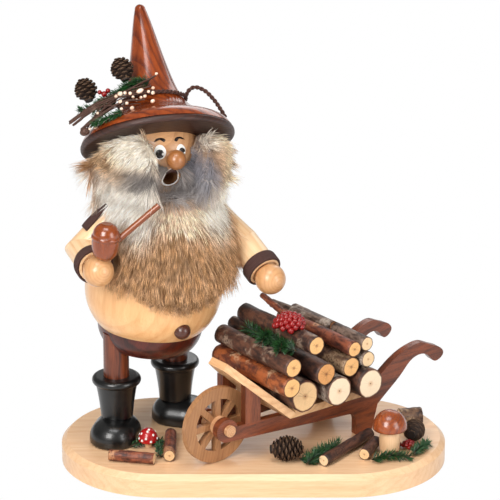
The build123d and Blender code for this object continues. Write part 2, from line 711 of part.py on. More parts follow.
round_end = Pos(0, 0, axle_height) * across * Cylinder(
    rail_end_radius, rail_thickness, align=(Align.CENTER, Align.CENTER, Align.MIN))
rail_shift = rail_half_width - rail_thickness
rail = Pos(0, -rail_shift, 0) * (rail + round_end)
axle_bore = Pos(0, 0, axle_height) * across * Cylinder(axle_radius + glue_gap, axle_length * 2)


def on_rail(piece, side):
    """Turn a piece drawn on the near rail into its place, side -1 being the far rail."""
    drawn = piece if side > 0 else mirror(piece, Plane.XZ)
    return Rot(Z=-side * rail_splay) * drawn


save("near_rail", barrow.location * (on_rail(rail, 1) - axle_bore))
save("far_rail", barrow.location * (on_rail(rail, -1) - axle_bore))

# Bed board across the rails, and the sloped board at its front with its posts
bed = Pos(bed_front, 0, rail_top + glue_gap) * Box(
    bed_back - bed_front, bed_half_width * 2, board_thickness,
    align=(Align.MIN, Align.CENTER, Align.MIN))
save("bed_board", barrow.location * bed)
slope = math.radians(front_board_slope)
slope_way = (-math.cos(slope), 0, math.sin(slope))
slope_up = (math.sin(slope), 0, math.cos(slope))
slope_foot = (front_board_foot, 0, rail_top + glue_gap)
slope_plane = Plane(origin=slope_foot, x_dir=slope_way, z_dir=slope_up)
foot_run = board_thickness * 2
slope_outline = Polyline(
    (-foot_run, -bed_half_width), (0, -bed_half_width),
    (front_board_length, -front_board_top_half_width),
    (front_board_length, front_board_top_half_width), (0, bed_half_width),
    (-foot_run, bed_half_width), close=True)
front_board = slope_plane.location * extrude(make_face(slope_outline), board_thickness)
barrow_size = handle_reach * 2
front_board -= beyond(slope_foot, (0, 0, -1), barrow_size)
front_board -= beyond((bed_front - glue_gap, 0, rail_top), (1, 0, 0), barrow_size)
save("front_board", barrow.location * front_board)
post_size = (post_back - post_front, rail_thickness, front_board_length)
post = Pos(post_front, -rail_shift, rail_top + glue_gap) * Box(
    *post_size, align=(Align.MIN, Align.MAX, Align.MIN))
under_board = beyond(along(slope_foot, slope_up, -glue_gap), slope_up, barrow_size)
posts = [on_rail(post, side) - under_board for side in (1, -1)]
save("front_posts", *[barrow.location * piece for piece in posts])


# Load: every log is a round bar across the barrow, given by its place in the
# side view, its radius, and the share of its length on the viewer's side
def nest(first, second, radius):
    """Place of a log that rests on two others, given from front to back."""
    reach_first = first[2] + radius + log_gap
    reach_second = second[2] + radius + log_gap
    run, rise = second[0] - first[0], second[1] - first[1]
    span = math.hypot(run, rise)
    foot = (span ** 2 + reach_first ** 2 - reach_second ** 2) / (2 * span)
    lift = math.sqrt(reach_first ** 2 - foot ** 2)
    return (first[0] + (run * foot - rise * lift) / span,
            first[1] + (rise * foot + run * lift) / span, radius)


def beside(log, radius, angle):
    reach = log[2] + radius + log_gap
    turn = math.radians(angle)
    return (log[0] + reach * math.cos(turn), log[1] + reach * math.sin(turn), radius)


def log_bar(log, start_share):
    near = -log_length * start_share
    return barrow.location * rod((log[0], near, log[1]), (log[0], near + log_length, log[1]), log[2])


bed_top = rail_top + board_thickness + glue_gap
slope_point = along(slope_foot, slope_up, board_thickness)


def on_slope(height, reach):
    """How far along the barrow a log lies that is a given reach off the sloped board."""
    climb = height - slope_point[2]
    return slope_point[0] + (reach - climb * slope_up[2]) / slope_up[0]


bottom_logs = []
for radius, space in zip(bottom_log_radii, bottom_log_spaces):
    height = bed_top + radius + log_gap
    if bottom_logs:
        place = bottom_logs[-1][0] + bottom_logs[-1][2] + radius + space
    else:
        place = on_slope(height, radius + space)
    bottom_logs.append((place, height, radius))
first_log, second_log, third_log = bottom_logs
slope_log = beside(first_log, slope_log_radius, slope_log_angle)
middle_log = nest(first_log, second_log, middle_log_radii[0])
rear_middle_log = nest(second_log, third_log, middle_log_radii[1])
side_log = nest(rear_middle_log, third_log, side_log_radius)
inner_log = nest(slope_log, first_log, inner_log_radii[0])
upper_log = nest(slope_log, inner_log, upper_log_radius)
upper_inner_log = nest(inner_log, middle_log, inner_log_radii[1])
rear_inner_log = nest(middle_log, rear_middle_log, inner_log_radii[2])
crest_log = beside(upper_inner_log, crest_log_radius, crest_log_angle)
rear_log = nest(rear_inner_log, rear_middle_log, back_log_radii[0])
back_log = nest(rear_log, side_log, back_log_radii[1])
last_log = beside(back_log, back_log_radii[2], last_log_angle)
save("bottom_logs", *[log_bar(log, share) for log, share in zip(bottom_logs, bottom_log_start_shares)])
middle_row = (slope_log, middle_log, rear_middle_log, side_log)
middle_shares = (slope_log_start_share, *middle_log_start_shares, side_log_start_share)
save("middle_logs", *[log_bar(log, share) for log, share in zip(middle_row, middle_shares)])
inner_row = (inner_log, upper_inner_log, rear_inner_log)
save("inner_logs", *[log_bar(log, share) for log, share in zip(inner_row, inner_log_start_shares)])
top_row = (upper_log, crest_log)
save("top_logs", *[log_bar(log, share) for log, share in zip(top_row, upper_log_start_shares)])
back_row = (rear_log, back_log, last_log)
save("back_logs", *[log_bar(log, share) for log, share in zip(back_row, back_log_start_shares)])

# A thin twig on the crest of the load, pointing up and away from the viewer
twig_place = beside(crest_log, twig_radius, twig_angle)
twig_start = (twig_place[0], -twig_radius, twig_place[1])
rise_now = math.radians(twig_rise)
twig_end = along(twig_start, (0, math.cos(rise_now), math.sin(rise_now)), twig_length)
save("load_twig", barrow.location * rod(twig_start, twig_end, twig_radius))

# Greenery laid over the load: a fir sprig, and a bunch of berries on a knob
sprig_place = nest(upper_log, crest_log, load_sprig_radius + soft_gap)
sprig_half = load_sprig_length / 2 - load_sprig_radius
save("load_sprig", barrow.location * capsule(
    (sprig_place[0], sprig_half, sprig_place[1]), (sprig_place[0], -sprig_half, sprig_place[1]),
    load_sprig_radius))


def berry_bunch(foot, radius):
    """Berries set round and over a small knob that stands at the given foot."""
    knob_radius = radius * bunch_core_share
    pieces = [Pos(*foot) * Cylinder(knob_radius, radius * 2,
                                    align=(Align.CENTER, Align.CENTER, Align.MIN))]
    layers = ((outer_berries, knob_radius + radius + glue_gap, radius), (1, 0, radius * 3),
              (inner_berries, knob_radius, radius * 3))
    for count, reach, lift in layers:
        for number in range(count):
            around = 2 * math.pi * number / count
            pieces.append(ball((foot[0] + reach * math.cos(around), foot[1] + reach * math.sin(around),
                                foot[2] + lift + glue_gap), radius))
    return pieces


bunch_foot = (crest_log[0], -log_length * load_berry_share, crest_log[1] + crest_log_radius + glue_gap)
bunch = berry_bunch(bunch_foot, load_berry_radius)
save("load_berries", *[barrow.location * piece for piece in bunch])


# Ground pieces on the board: two toadstools, short logs, cones and sprigs
def fir_cone(radius, length):
    """Cone standing on its stalk end, with its rows of scales as steps."""
    rise = length / cone_rows
    outline = [(0, 0)]
    for row, share in enumerate(cone_radius_shares):
        outline.append((radius * share * cone_waist_share, rise * row))
        outline.append((radius * share, rise * (row + cone_waist_share)))
    outline.append((0, length))
    return stacked(outline)


def lying(piece, place, angle, lift):
    """Lay a piece drawn along +Z on the board, pointing along an angle from +X."""
    return Pos(*on_board(place, lift)) * Rot(Z=angle) * Rot(Y=90) * piece


ground_cones = []
for radius, length, place, angle in zip(of_board(ground_cone_radius_shares),
                                        of_board(ground_cone_length_shares),
                                        ground_cone_shares, ground_cone_angles):
    piece = Pos(0, 0, -length / 2) * fir_cone(radius, length)
    ground_cones.append(lying(piece, place, angle, radius + glue_gap))
save("ground_cones", *ground_cones)
ground_log_radius = base_length * ground_log_radius_share
ground_logs = [
    lying(Cylinder(ground_log_radius, length), place, angle, ground_log_radius + glue_gap)
    for length, place, angle in zip(of_board(ground_log_length_shares),
                                    ground_log_shares, ground_log_angles)]
save("ground_logs", *ground_logs)
stump_radius, stump_length = of_board(stump_size_shares)
stump = Cylinder(stump_radius, stump_length)
save("bark_stump", lying(stump, stump_shares, stump_angle, stump_radius + glue_gap))


def sprig(length, width):
    """Plain low cushion that stands for a fir sprig."""
    shape = extrude(SlotOverall(length, width), base_length * sprig_height_share)
    return fillet(shape.faces().sort_by(Axis.Z)[-1].edges(), width * sprig_round_share)


sprigs = [Pos(*on_board(place, glue_gap)) * Rot(Z=angle) * sprig(length, width)
          for place, length, width, angle in zip(
              ground_sprig_shares, of_board(ground_sprig_length_shares),
              of_board(ground_sprig_width_shares), ground_sprig_angles)]
save("ground_sprigs", *sprigs)
ground_berry_radius = base_length * ground_berry_radius_share
save("ground_berries", *berry_bunch(on_board(ground_berry_shares, glue_gap), ground_berry_radius))

toadstool_foot = on_board(toadstool_shares, glue_gap)
toadstool_cap_radius, toadstool_cap_height = of_board(toadstool_cap_shares)
stalk_height = base_length * toadstool_height_share - toadstool_cap_height
stalk = Cylinder(base_length * toadstool_stem_share, stalk_height,
                 align=(Align.CENTER, Align.CENTER, Align.MIN))
save("toadstool_stem", Pos(*toadstool_foot) * stalk)


def cap(radius, height):
    """Turned cap with a flat underside and a domed top."""
    lip = radius * cap_lip_share
    return turned([(radius - lip, 0), (radius, lip), (radius * cap_waist_share, height * cap_waist_share),
                   (lip, height)])


save("toadstool_cap", Pos(*toadstool_foot) * Pos(0, 0, stalk_height + glue_gap) * cap(
    toadstool_cap_radius, toadstool_cap_height))
mushroom_foot = on_board(mushroom_shares, glue_gap)
mushroom_stem_height = base_length * mushroom_stem_height_share
foot_radius, neck_width = of_board(mushroom_stem_radius_shares)
mushroom_stem = turned([(foot_radius * mushroom_swell_shares[0], 0),
                        (foot_radius, mushroom_stem_height * mushroom_swell_shares[1]),
                        (neck_width, mushroom_stem_height)])
save("mushroom_stem", Pos(*mushroom_foot) * mushroom_stem)
mushroom_cap = cap(*of_board(mushroom_cap_shares))
save("mushroom_cap", Pos(*mushroom_foot) * Pos(0, 0, mushroom_stem_height + glue_gap) * mushroom_cap)


# Hat trimmings: cones, fir sprigs and beaded twigs wired to the crown's left front
def on_hat(shares):
    return tuple(brim_radius * share for share in shares)


cone_lean = math.radians(hat_cone_lean)
hat_cones = []
for shares in hat_cone_shares:
    stand = Plane(origin=on_hat(shares), z_dir=(-math.sin(cone_lean), 0, math.cos(cone_lean)))
    hat_cones.append(in_hat * stand.location * fir_cone(hat_cone_radius, hat_cone_length))
save("hat_cones", *hat_cones)


def capsule_chain(points, radius):
    chain = ball(points[0], radius)
    for start, end in zip(points, points[1:]):
        chain += rod(start, end, radius) + ball(end, radius)
    return chain


save("hat_sprigs", in_hat * capsule_chain([on_hat(share) for share in hat_sprig_shares], hat_sprig_radius),
     in_hat * capsule_chain([on_hat(share) for share in low_sprig_shares], low_sprig_radius))
hat_twigs, hat_beads = [], []
bead_reach_out = hat_twig_radius + bead_radius + glue_gap
for shares in hat_twig_shares:
    line = ThreePointArc(*[on_hat(share) for share in shares])
    section = Plane(origin=line @ 0, z_dir=line % 0) * Circle(hat_twig_radius)
    hat_twigs.append(in_hat * sweep(section, path=line))
    for number in range(beads_per_twig):
        share = 1 - number / (beads_per_twig * 2)
        way = line % share
        out = Vector(0, 0, 1) - way * way.Z
        hat_beads.append(in_hat * ball(along(line @ share, out, bead_reach_out), bead_radius))
save("hat_twigs", *hat_twigs)
save("hat_beads", *hat_beads)
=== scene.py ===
import math
import random

import bmesh
import bpy
import numpy as np
from mathutils import Matrix, Vector
from mathutils.noise import noise


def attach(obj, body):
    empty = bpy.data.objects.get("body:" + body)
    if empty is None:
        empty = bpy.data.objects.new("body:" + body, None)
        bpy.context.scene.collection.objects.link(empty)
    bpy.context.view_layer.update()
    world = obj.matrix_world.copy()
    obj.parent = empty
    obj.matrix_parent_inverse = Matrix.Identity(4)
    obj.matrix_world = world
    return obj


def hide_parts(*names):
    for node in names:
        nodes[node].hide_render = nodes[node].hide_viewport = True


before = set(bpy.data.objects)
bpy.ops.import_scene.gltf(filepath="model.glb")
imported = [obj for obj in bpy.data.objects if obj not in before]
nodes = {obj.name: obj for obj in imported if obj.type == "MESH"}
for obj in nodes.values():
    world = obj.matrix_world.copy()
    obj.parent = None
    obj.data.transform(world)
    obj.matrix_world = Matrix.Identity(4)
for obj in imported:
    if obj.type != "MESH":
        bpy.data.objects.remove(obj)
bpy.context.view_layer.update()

MM = 0.001


# Camera and light. The object was photographed on a white sweep in a light
# tent, from a little above, with a long lens; large soft lamps left, right
# and over it leave long mild highlights on the lacquer.
view_drop = math.radians(20.27)
view_way = Vector((0, math.cos(view_drop), -math.sin(view_drop)))
view_target = Vector((-1.98, 0, 126.1)) * MM
camera_distance = 1800
camera = bpy.data.objects.new("camera", bpy.data.cameras.new("camera"))
camera.data.sensor_width = 36
camera.data.lens = 230.6
camera.data.clip_end = 20
camera.location = view_target - view_way * camera_distance * MM
camera.rotation_euler = view_way.to_track_quat("-Z", "Y").to_euler()
bpy.context.collection.objects.link(camera)
bpy.context.scene.camera = camera
bpy.context.scene.view_settings.view_transform = "Standard"


def lamp(name, place, aim, size, watts, colour=(1, 1, 1)):
    """Soft rectangular lamp; its place, aim and size are in mm."""
    data = bpy.data.lights.new(name, "AREA")
    data.shape = "RECTANGLE"
    data.size, data.size_y = size[0] * MM, size[1] * MM
    data.energy = watts
    data.color = colour
    lit = bpy.data.objects.new(name, data)
    lit.location = Vector(place) * MM
    lit.rotation_euler = (Vector(aim) * MM - lit.location).to_track_quat("-Z", "Y").to_euler()
    bpy.context.collection.objects.link(lit)
    return lit


middle = (0, 0, 110)
lamp("key", (-420, -780, 600), middle, (420, 520), 9.0, (1.0, 0.985, 0.96))
lamp("fill", (700, -640, 380), middle, (420, 620), 4.4, (1.0, 0.99, 0.97))
lamp("top", (-60, -260, 900), middle, (460, 300), 3.0)
lamp("back", (200, 700, 500), middle, (600, 400), 1.6)

tent_colour, tent_strength = (1, 0.99, 0.97, 1), 0.24
world = bpy.data.worlds.new("tent")
world.use_nodes = True
bpy.context.scene.world = world
world.node_tree.nodes["Background"].inputs[0].default_value = tent_colour
world.node_tree.nodes["Background"].inputs[1].default_value = tent_strength


# Floor. One sheet of white card under the board; the camera sees it as plain
# white paper, while the object still gets its light and reflection.
def add(tree, kind, *values, **settings):
    """A shader node, its inputs set in order from values or other sockets."""
    made = tree.nodes.new("ShaderNode" + kind)
    for key, value in settings.items():
        setattr(made, key, value)
    for socket, value in zip(made.inputs, values):
        if isinstance(value, bpy.types.NodeSocket):
            tree.links.new(value, socket)
        elif value is not None:
            socket.default_value = value
    return made


def calc(tree, operation, *values, clamp=False):
    """Result of a sum on numbers or sockets."""
    return add(tree, "Math", *values, operation=operation, use_clamp=clamp).outputs[0]


def vector(tree, operation, *values):
    """Result of a sum on vectors: a vector, or a number for lengths and products."""
    made = add(tree, "VectorMath", *values, operation=operation)
    return made.outputs["Value" if operation in ("LENGTH", "DOT_PRODUCT", "DISTANCE") else "Vector"]


def mixed(tree, share, one, two, way="MIX"):
    """Colour between two colours or sockets."""
    made = tree.nodes.new("ShaderNodeMix")
    made.data_type = "RGBA"
    made.blend_type = way
    for name, value in (("Factor_Float", share), ("A_Color", one), ("B_Color", two)):
        socket = next(s for s in made.inputs if s.identifier == name)
        if isinstance(value, bpy.types.NodeSocket):
            tree.links.new(value, socket)
        else:
            socket.default_value = value
    return next(s for s in made.outputs if s.identifier == "Result_Color")


def eased(tree, value, low, high):
    """0 below low, 1 above high, smooth between."""
    made = add(tree, "MapRange", value, low, high, 0.0, 1.0, interpolation_type="SMOOTHSTEP")
    return made.outputs["Result"]


def colour(code):
    """Linear colour from its six-figure display code."""
    parts = [int(code[i:i + 2], 16) / 255 for i in (0, 2, 4)]
    return tuple(c / 12.92 if c <= 0.04045 else ((c + 0.055) / 1.055) ** 2.4 for c in parts) + (1,)


card = bpy.data.materials.new("card")
card.use_nodes = True
tree = card.node_tree
tree.nodes.clear()
paths = add(tree, "LightPath")
seen = calc(tree, "MAXIMUM", paths.outputs["Is Camera Ray"], paths.outputs["Is Glossy Ray"])
seen = calc(tree, "MAXIMUM", seen, paths.outputs["Is Transmission Ray"])
plain = add(tree, "BsdfDiffuse", (0.82, 0.81, 0.79, 1))
white = add(tree, "Emission", (1, 1, 1, 1), 1.0)
shown = add(tree, "MixShader", seen, plain.outputs[0], white.outputs[0])
tree.links.new(shown.outputs[0], add(tree, "OutputMaterial").inputs[0])
floor_size = 6000 * MM
floor_mesh = bpy.data.meshes.new("floor")
below_board = -0.2 * MM
corners = [(x * floor_size, y * floor_size, below_board) for x, y in ((-1, -1), (1, -1), (1, 1), (-1, 1))]
floor_mesh.from_pydata(corners, [], [(0, 1, 2, 3)])
floor = bpy.data.objects.new("floor", floor_mesh)
bpy.context.collection.objects.link(floor)
floor_mesh.materials.append(card)


# Base board. A plank of pale lime wood, sawn to an oval-ended outline, its upper
# edge chamfered, grain along its length, clear satin lacquer.
COLOUR, FLOAT, VECTOR = "NodeSocketColor", "NodeSocketFloat", "NodeSocketVector"
WHITE, BLACK = (1, 1, 1, 1), (0, 0, 0, 1)


def new_group(name, inputs, outputs):
    """Shader group with named inputs and outputs; returns it and its two end nodes."""
    group = bpy.data.node_groups.new(name, "ShaderNodeTree")
    for label, kind, value in inputs:
        socket = group.interface.new_socket(label, in_out="INPUT", socket_type=kind)
        if value is not None:
            socket.default_value = value
    for label, kind in outputs:
        group.interface.new_socket(label, in_out="OUTPUT", socket_type=kind)
    return group, group.nodes.new("NodeGroupInput").outputs, group.nodes.new("NodeGroupOutput").inputs


def placed(tree, group, **values):
    """A group in a tree; ring_width=... sets its input Ring Width, to a value or a socket."""
    made = add(tree, "Group", node_tree=group)
    for key, value in values.items():
        socket = made.inputs[key.replace("_", " ").title()]
        if isinstance(value, bpy.types.NodeSocket):
            tree.links.new(value, socket)
        else:
            socket.default_value = value
    return made.outputs


# Soft cloudy noise, stretched along each axis.
speckle_group, given, result = new_group(
    "speckle", [("Vector", VECTOR, None), ("Stretch", VECTOR, (1, 1, 1)), ("Detail", FLOAT, 2.0)],
    [("Value", FLOAT), ("Color", COLOUR)])
cloud = add(speckle_group, "TexNoise",
            vector(speckle_group, "MULTIPLY", given["Vector"], given["Stretch"]))
cloud.inputs["Scale"].default_value = 1.0
speckle_group.links.new(given["Detail"], cloud.inputs["Detail"])
speckle_group.links.new(cloud.outputs[0], result["Value"])
speckle_group.links.new(cloud.outputs["Color"], result["Color"])


def speckle(tree, at, stretch, detail=2.0):
    """Noise from 0 to 1; stretch is one number, or one for each axis."""
    if not hasattr(stretch, "__len__"):
        stretch = (stretch, stretch, stretch)
    return placed(tree, speckle_group, vector=at, stretch=stretch, detail=detail)["Value"]


def object_at(tree):
    """Coordinates of the shared frame in metres."""
    return add(tree, "TexCoord").outputs["Object"]


# Relief that also makes the low places rougher.
relief_group, given, result = new_group(
    "relief", [("Height", FLOAT, 0.0), ("Roughness", FLOAT, 0.5), ("Spread", FLOAT, 0.1),
               ("Depth", FLOAT, 0.2), ("Reach", FLOAT, 0.15 * MM)],
    [("Roughness", FLOAT), ("Normal", VECTOR)])
roughest = calc(relief_group, "ADD", given["Roughness"], given["Spread"])
smoothed = calc(relief_group, "MULTIPLY", given["Height"], given["Spread"])
relief_group.links.new(calc(relief_group, "SUBTRACT", roughest, smoothed), result["Roughness"])
bump = add(relief_group, "Bump")
relief_group.links.new(given["Depth"], bump.inputs["Strength"])
relief_group.links.new(given["Reach"], bump.inputs["Distance"])
relief_group.links.new(given["Height"], bump.inputs["Height"])
relief_group.links.new(bump.outputs[0], result["Normal"])

# Grain of turned and sawn wood. Yearly rings lie round the heart of the plank as
# tubes along the grain, so a cut across shows circles and a cut along shows long
# flames; short fibres run the same way.
grain_group, given, result = new_group(
    "wood_grain",
    [("Vector", VECTOR, None), ("Pale", COLOUR, WHITE), ("Dark", COLOUR, BLACK),
     ("Ring Width", FLOAT, 0.002), ("Ring Share", FLOAT, 0.5), ("Fibre Share", FLOAT, 0.3),
     ("Wander", FLOAT, 0.002), ("Flame Share", FLOAT, 0.2)],
    [("Color", COLOUR), ("Height", FLOAT)])
tree = grain_group
bend = placed(tree, speckle_group, vector=given["Vector"], stretch=(55, 55, 14))
sway = add(tree, "VectorMath", vector(tree, "SUBTRACT", bend["Color"], (0.5, 0.5, 0.5)), operation="SCALE")
tree.links.new(given["Wander"], sway.inputs["Scale"])
moved = vector(tree, "ADD", given["Vector"], sway.outputs[0])
reach = vector(tree, "LENGTH", vector(tree, "MULTIPLY", moved, (1, 1, 0)))
rings = calc(tree, "FRACT", calc(tree, "DIVIDE", reach, given["Ring Width"]))
late = eased(tree, rings, 0.35, 0.93)
fall = calc(tree, "SUBTRACT", 1.0, eased(tree, rings, 0.93, 1.0))
late = calc(tree, "MULTIPLY", late, fall)
fibre = eased(tree, speckle(tree, moved, (2600, 2600, 90), 3.0), 0.42, 0.72)
flames = eased(tree, speckle(tree, moved, (260, 260, 16)), 0.38, 0.68)
amount = calc(tree, "MULTIPLY", late, given["Ring Share"])
amount = calc(tree, "ADD", amount, calc(tree, "MULTIPLY", fibre, given["Fibre Share"]))
amount = calc(tree, "ADD", amount, calc(tree, "MULTIPLY", flames, given["Flame Share"]), clamp=True)
tree.links.new(mixed(tree, amount, given["Pale"], given["Dark"]), result["Color"])
dips = calc(tree, "ADD", calc(tree, "MULTIPLY", fibre, 0.6), calc(tree, "MULTIPLY", late, 0.4))
tree.links.new(calc(tree, "SUBTRACT", 1.0, dips), result["Height"])


def new_material(name):
    """Material with one Principled shader; returns it, its tree and the shader."""
    made = bpy.data.materials.new(name)
    made.use_nodes = True
    return made, made.node_tree, made.node_tree.nodes["Principled BSDF"]


def turned_to(tree, axis, centre):
    """Object coordinates about a centre in mm, turned so that Z runs along the axis."""
    moved = vector(tree, "SUBTRACT", object_at(tree), tuple(c * MM for c in centre))
    made = add(tree, "Mapping", moved, vector_type="POINT")
    turn = Vector(axis).normalized().rotation_difference(Vector((0, 0, 1)))
    made.inputs["Rotation"].default_value = turn.to_euler()
    return made.outputs[0]


def rough_and_bump(tree, shader, height, roughness, depth, spread=0.12, reach=0.15 * MM):
    """Roughness that follows the relief, and the relief itself."""
    made = placed(tree, relief_group, height=height, roughness=roughness, depth=depth, spread=spread,
                  reach=reach)
    tree.links.new(made["Roughness"], shader.inputs["Roughness"])
    tree.links.new(made["Normal"], shader.inputs["Normal"])


def wood(name, pale, dark, axis, centre, ring_width=2.0, rings=0.5, fibres=0.25, wander=2.0,
         flames=0.2, roughness=0.34, coat=0.25, coat_roughness=0.12, bump=0.25):
    """Lacquered wood whose grain runs along the axis, with its heart at the centre."""
    made, tree, shader = new_material(name)
    grain = placed(tree, grain_group, vector=turned_to(tree, axis, centre), pale=colour(pale),
                   dark=colour(dark), ring_width=ring_width * MM, ring_share=rings, fibre_share=fibres,
                   wander=wander * MM, flame_share=flames)
    tree.links.new(grain["Color"], shader.inputs["Base Color"])
    rough_and_bump(tree, shader, grain["Height"], roughness, bump)
    shader.inputs["Coat Weight"].default_value = coat
    shader.inputs["Coat Roughness"].default_value = coat_roughness
    return made


def dress(material, *names):
    """Give CAD nodes a better material in their own slots."""
    for name in names:
        for slot in nodes[name].material_slots:
            slot.link = "OBJECT"
            slot.material = material


dress(wood("board_lime", "EBC49B", "D5A073", (1, 0.02, 0.03), (0, 20, -38), ring_width=3.1, rings=0.16,
           fibres=0.30, wander=6, flames=0.30, roughness=0.38, coat=0.2), "base_board")


# Boots. Turned shafts with a rolled cuff on rounded feet, all dipped in black
# satin paint that fills the grain but leaves it just readable.
paint_group, given, result = new_group(
    "brushed_paint", [("Paint", COLOUR, WHITE), ("Worn", COLOUR, WHITE)],
    [("Color", COLOUR), ("Height", FLOAT)])
wear = eased(paint_group, speckle(paint_group, object_at(paint_group), 90), 0.35, 0.75)
paint_group.links.new(mixed(paint_group, wear, given["Paint"], given["Worn"]), result["Color"])
skin = speckle(paint_group, object_at(paint_group), (900, 900, 315), 4.0)
paint_group.links.new(skin, result["Height"])


def painted(name, code, roughness, coat, bump=0.12):
    """Brushed enamel that shows a little lighter where it is thin."""
    made, tree, shader = new_material(name)
    base = colour(code)
    worn = tuple(min(1, c * 1.35 + 0.006) for c in base[:3]) + (1,)
    paint = placed(tree, paint_group, paint=base, worn=worn)
    tree.links.new(paint["Color"], shader.inputs["Base Color"])
    rough_and_bump(tree, shader, paint["Height"], roughness, bump, spread=0.1, reach=0.12 * MM)
    shader.inputs["Coat Weight"].default_value = coat
    shader.inputs["Coat Roughness"].default_value = 0.15
    return made


dress(painted("boot_black", "070707", 0.28, 0.3), "right_boot_foot", "right_boot_shaft",
      "left_boot_foot", "left_boot_shaft")


# Legs and trousers. Round beech pieces in red-brown water stain under clear
# lacquer; the grain stands upright. The incense dish inside is pressed brass.
figure_foot = Vector((-58.96, 10.50, 78.0))
lean = math.radians(5.5)
figure_axes = Matrix(((math.cos(lean), 0, math.sin(lean)), (0, 1, 0),
                      (-math.sin(lean), 0, math.cos(lean))))


def on_figure(x, y, z):
    """World place in mm of a point of the figure's own leaning frame."""
    return figure_foot + figure_axes @ Vector((x, y, z))


figure_up = figure_axes @ Vector((0, 0, 1))
stained = dict(ring_width=2.4, rings=0.55, fibres=0.5, wander=3, flames=0.4, roughness=0.33, coat=0.3)
dress(wood("leg_stain", "7A3B1E", "3A150A", (0, 0, 1), (-60, 40, 0), **stained),
      "right_leg", "left_leg")
dress(wood("trousers_stain", "581B0A", "2C0B05", figure_up, on_figure(0, 24, 0), **stained), "trousers")
brass, tree, shader = new_material("dish_brass")
shader.inputs["Metallic"].default_value = 1.0
drawn = speckle(tree, object_at(tree), 500)
tree.links.new(mixed(tree, drawn, colour("D9B269"), colour("A97F3C")), shader.inputs["Base Color"])
rough_and_bump(tree, shader, drawn, 0.3, 0.1)
dress(brass, "incense_dish")


# Jacket, sleeves and hands. Turned from pale lime and clear lacquered; the
# jacket's grain stands upright, a sleeve's runs along it, and the ball hands
# show rings round the end of their grain. The button is dark stained.
dress(wood("jacket_lime", "ECBC85", "D6945B", figure_up, on_figure(30, 26, 0), ring_width=4.4, rings=0.26,
           fibres=0.26, wander=5, flames=0.30, roughness=0.30, coat=0.35, coat_roughness=0.1), "torso")
arms = {"right": ((-23.3, -13.5, 69.1), (-40.56, -20.5, 48.1), (-31.2, -46.8, 46.1)),
        "left": ((23.3, 13.5, 69.1), (48.4, 9.5, 49.9), (65.2, -11.5, 37.4))}
for side, (shoulder, elbow, hand) in arms.items():
    shoulder, elbow, hand = (on_figure(*point) for point in (shoulder, elbow, hand))
    for name, start, end in (("upper_sleeve", shoulder, elbow), ("forearm_sleeve", elbow, hand)):
        way = (end - start).normalized()
        aside = way.orthogonal().normalized() * 14
        dress(wood(side + "_" + name + "_lime", "F0CDA2", "DBA672", way, start + aside, ring_width=3.2,
                   rings=0.32, fibres=0.22, wander=3, flames=0.22, coat=0.3), side + "_" + name)
    hand_way = (hand - elbow).normalized() + Vector((0, -0.5, 0.3))
    dress(wood(side + "_hand_lime", "D2A070", "BA804E", hand_way, hand + Vector((2.0, 0, 1.5)),
               ring_width=1.7, rings=0.38, fibres=0.18, wander=1.2, flames=0.2, coat=0.35),
          side + "_hand")
dress(wood("button_stain", "5B2E1E", "2B110A", (0.4, -0.8, 0.2), (-40, -25, 88), ring_width=1.1,
           rings=0.6, fibres=0.3, wander=1, roughness=0.3, coat=0.4), "coat_button")


# Head, nose and neck. Beech balls with a light brown stain; the head's rings
# run round a level axis so that long flames cross the cheeks.
head_forward, head_height, head_radius = -3.9, 103.638, 23.0
# how far the mouth sits below the middle of the head, the radius of its bore, and the reach of the shade
# painted in it, in mm
mouth_drop, bore_radius, mouth_shade_radius = 9.2, 4.05, 4.3
mouth_at = on_figure(head_forward, 0, head_height - mouth_drop)
turn = math.radians(21.8)
mouth_way = figure_axes @ Vector((math.sin(turn), -math.cos(turn), 0))
mouth_side = figure_axes @ Vector((math.cos(turn), math.sin(turn), 0))
mouth_up = figure_axes @ Vector((0, 0, 1))
face = wood("face_beech", "CF9D70", "A87449", (1, 0.3, 0.2), (-53, 24, 160), ring_width=2.6, rings=0.40,
            fibres=0.35, wander=3, flames=0.3, roughness=0.34, coat=0.3)
# painted shade: the wall of the bored mouth is coloured dark, as the shadow inside the hole
tree = face.node_tree
skin_colour = tree.nodes["Principled BSDF"].inputs["Base Color"]
bore = add(tree, "SeparateXYZ", turned_to(tree, mouth_way, mouth_at)).outputs
off_axis = calc(tree, "ADD", calc(tree, "MULTIPLY", bore[0], bore[0]),
                calc(tree, "MULTIPLY", bore[1], bore[1]))
outside = eased(tree, off_axis, (bore_radius * MM) ** 2, (mouth_shade_radius * MM) ** 2)
tree.links.new(mixed(tree, outside, colour("2A120B"), skin_colour.links[0].from_socket), skin_colour)
dress(face, "head", "neck_peg")
dress(wood("nose_beech", "A46B3D", "7E4A22", (0.5, -0.85, 0.25), (-44.8, -14, 185.0), ring_width=0.95,
           rings=0.45, fibres=0.25, wander=0.8, flames=0.15, roughness=0.28, coat=0.45), "nose")


# Hat. The tall crown is turned with a flared foot and stained orange-brown under
# a high gloss; the brim is a thin ring stained much darker.
back, aside = math.radians(34.5), math.radians(14.9)
hat_way_local = Vector((-math.cos(back) * math.sin(aside), math.sin(back),
                        math.cos(back) * math.cos(aside)))
head_middle = Vector((head_forward, 0, head_height))
hat_rise = 3.5
hat_side_local = Vector((0, 1, 0)).cross(hat_way_local).normalized()
hat_back_local = hat_way_local.cross(hat_side_local)
hat_foot_local = head_middle + hat_way_local * hat_rise


def on_hat(x, y, z):
    """World place in mm of a point of the hat's own frame."""
    return on_figure(*(hat_foot_local + hat_side_local * x + hat_back_local * y + hat_way_local * z))


def hat_turned(x, y, z):
    """World direction of a direction in the hat's own frame."""
    return (on_hat(x, y, z) - on_hat(0, 0, 0)).normalized()


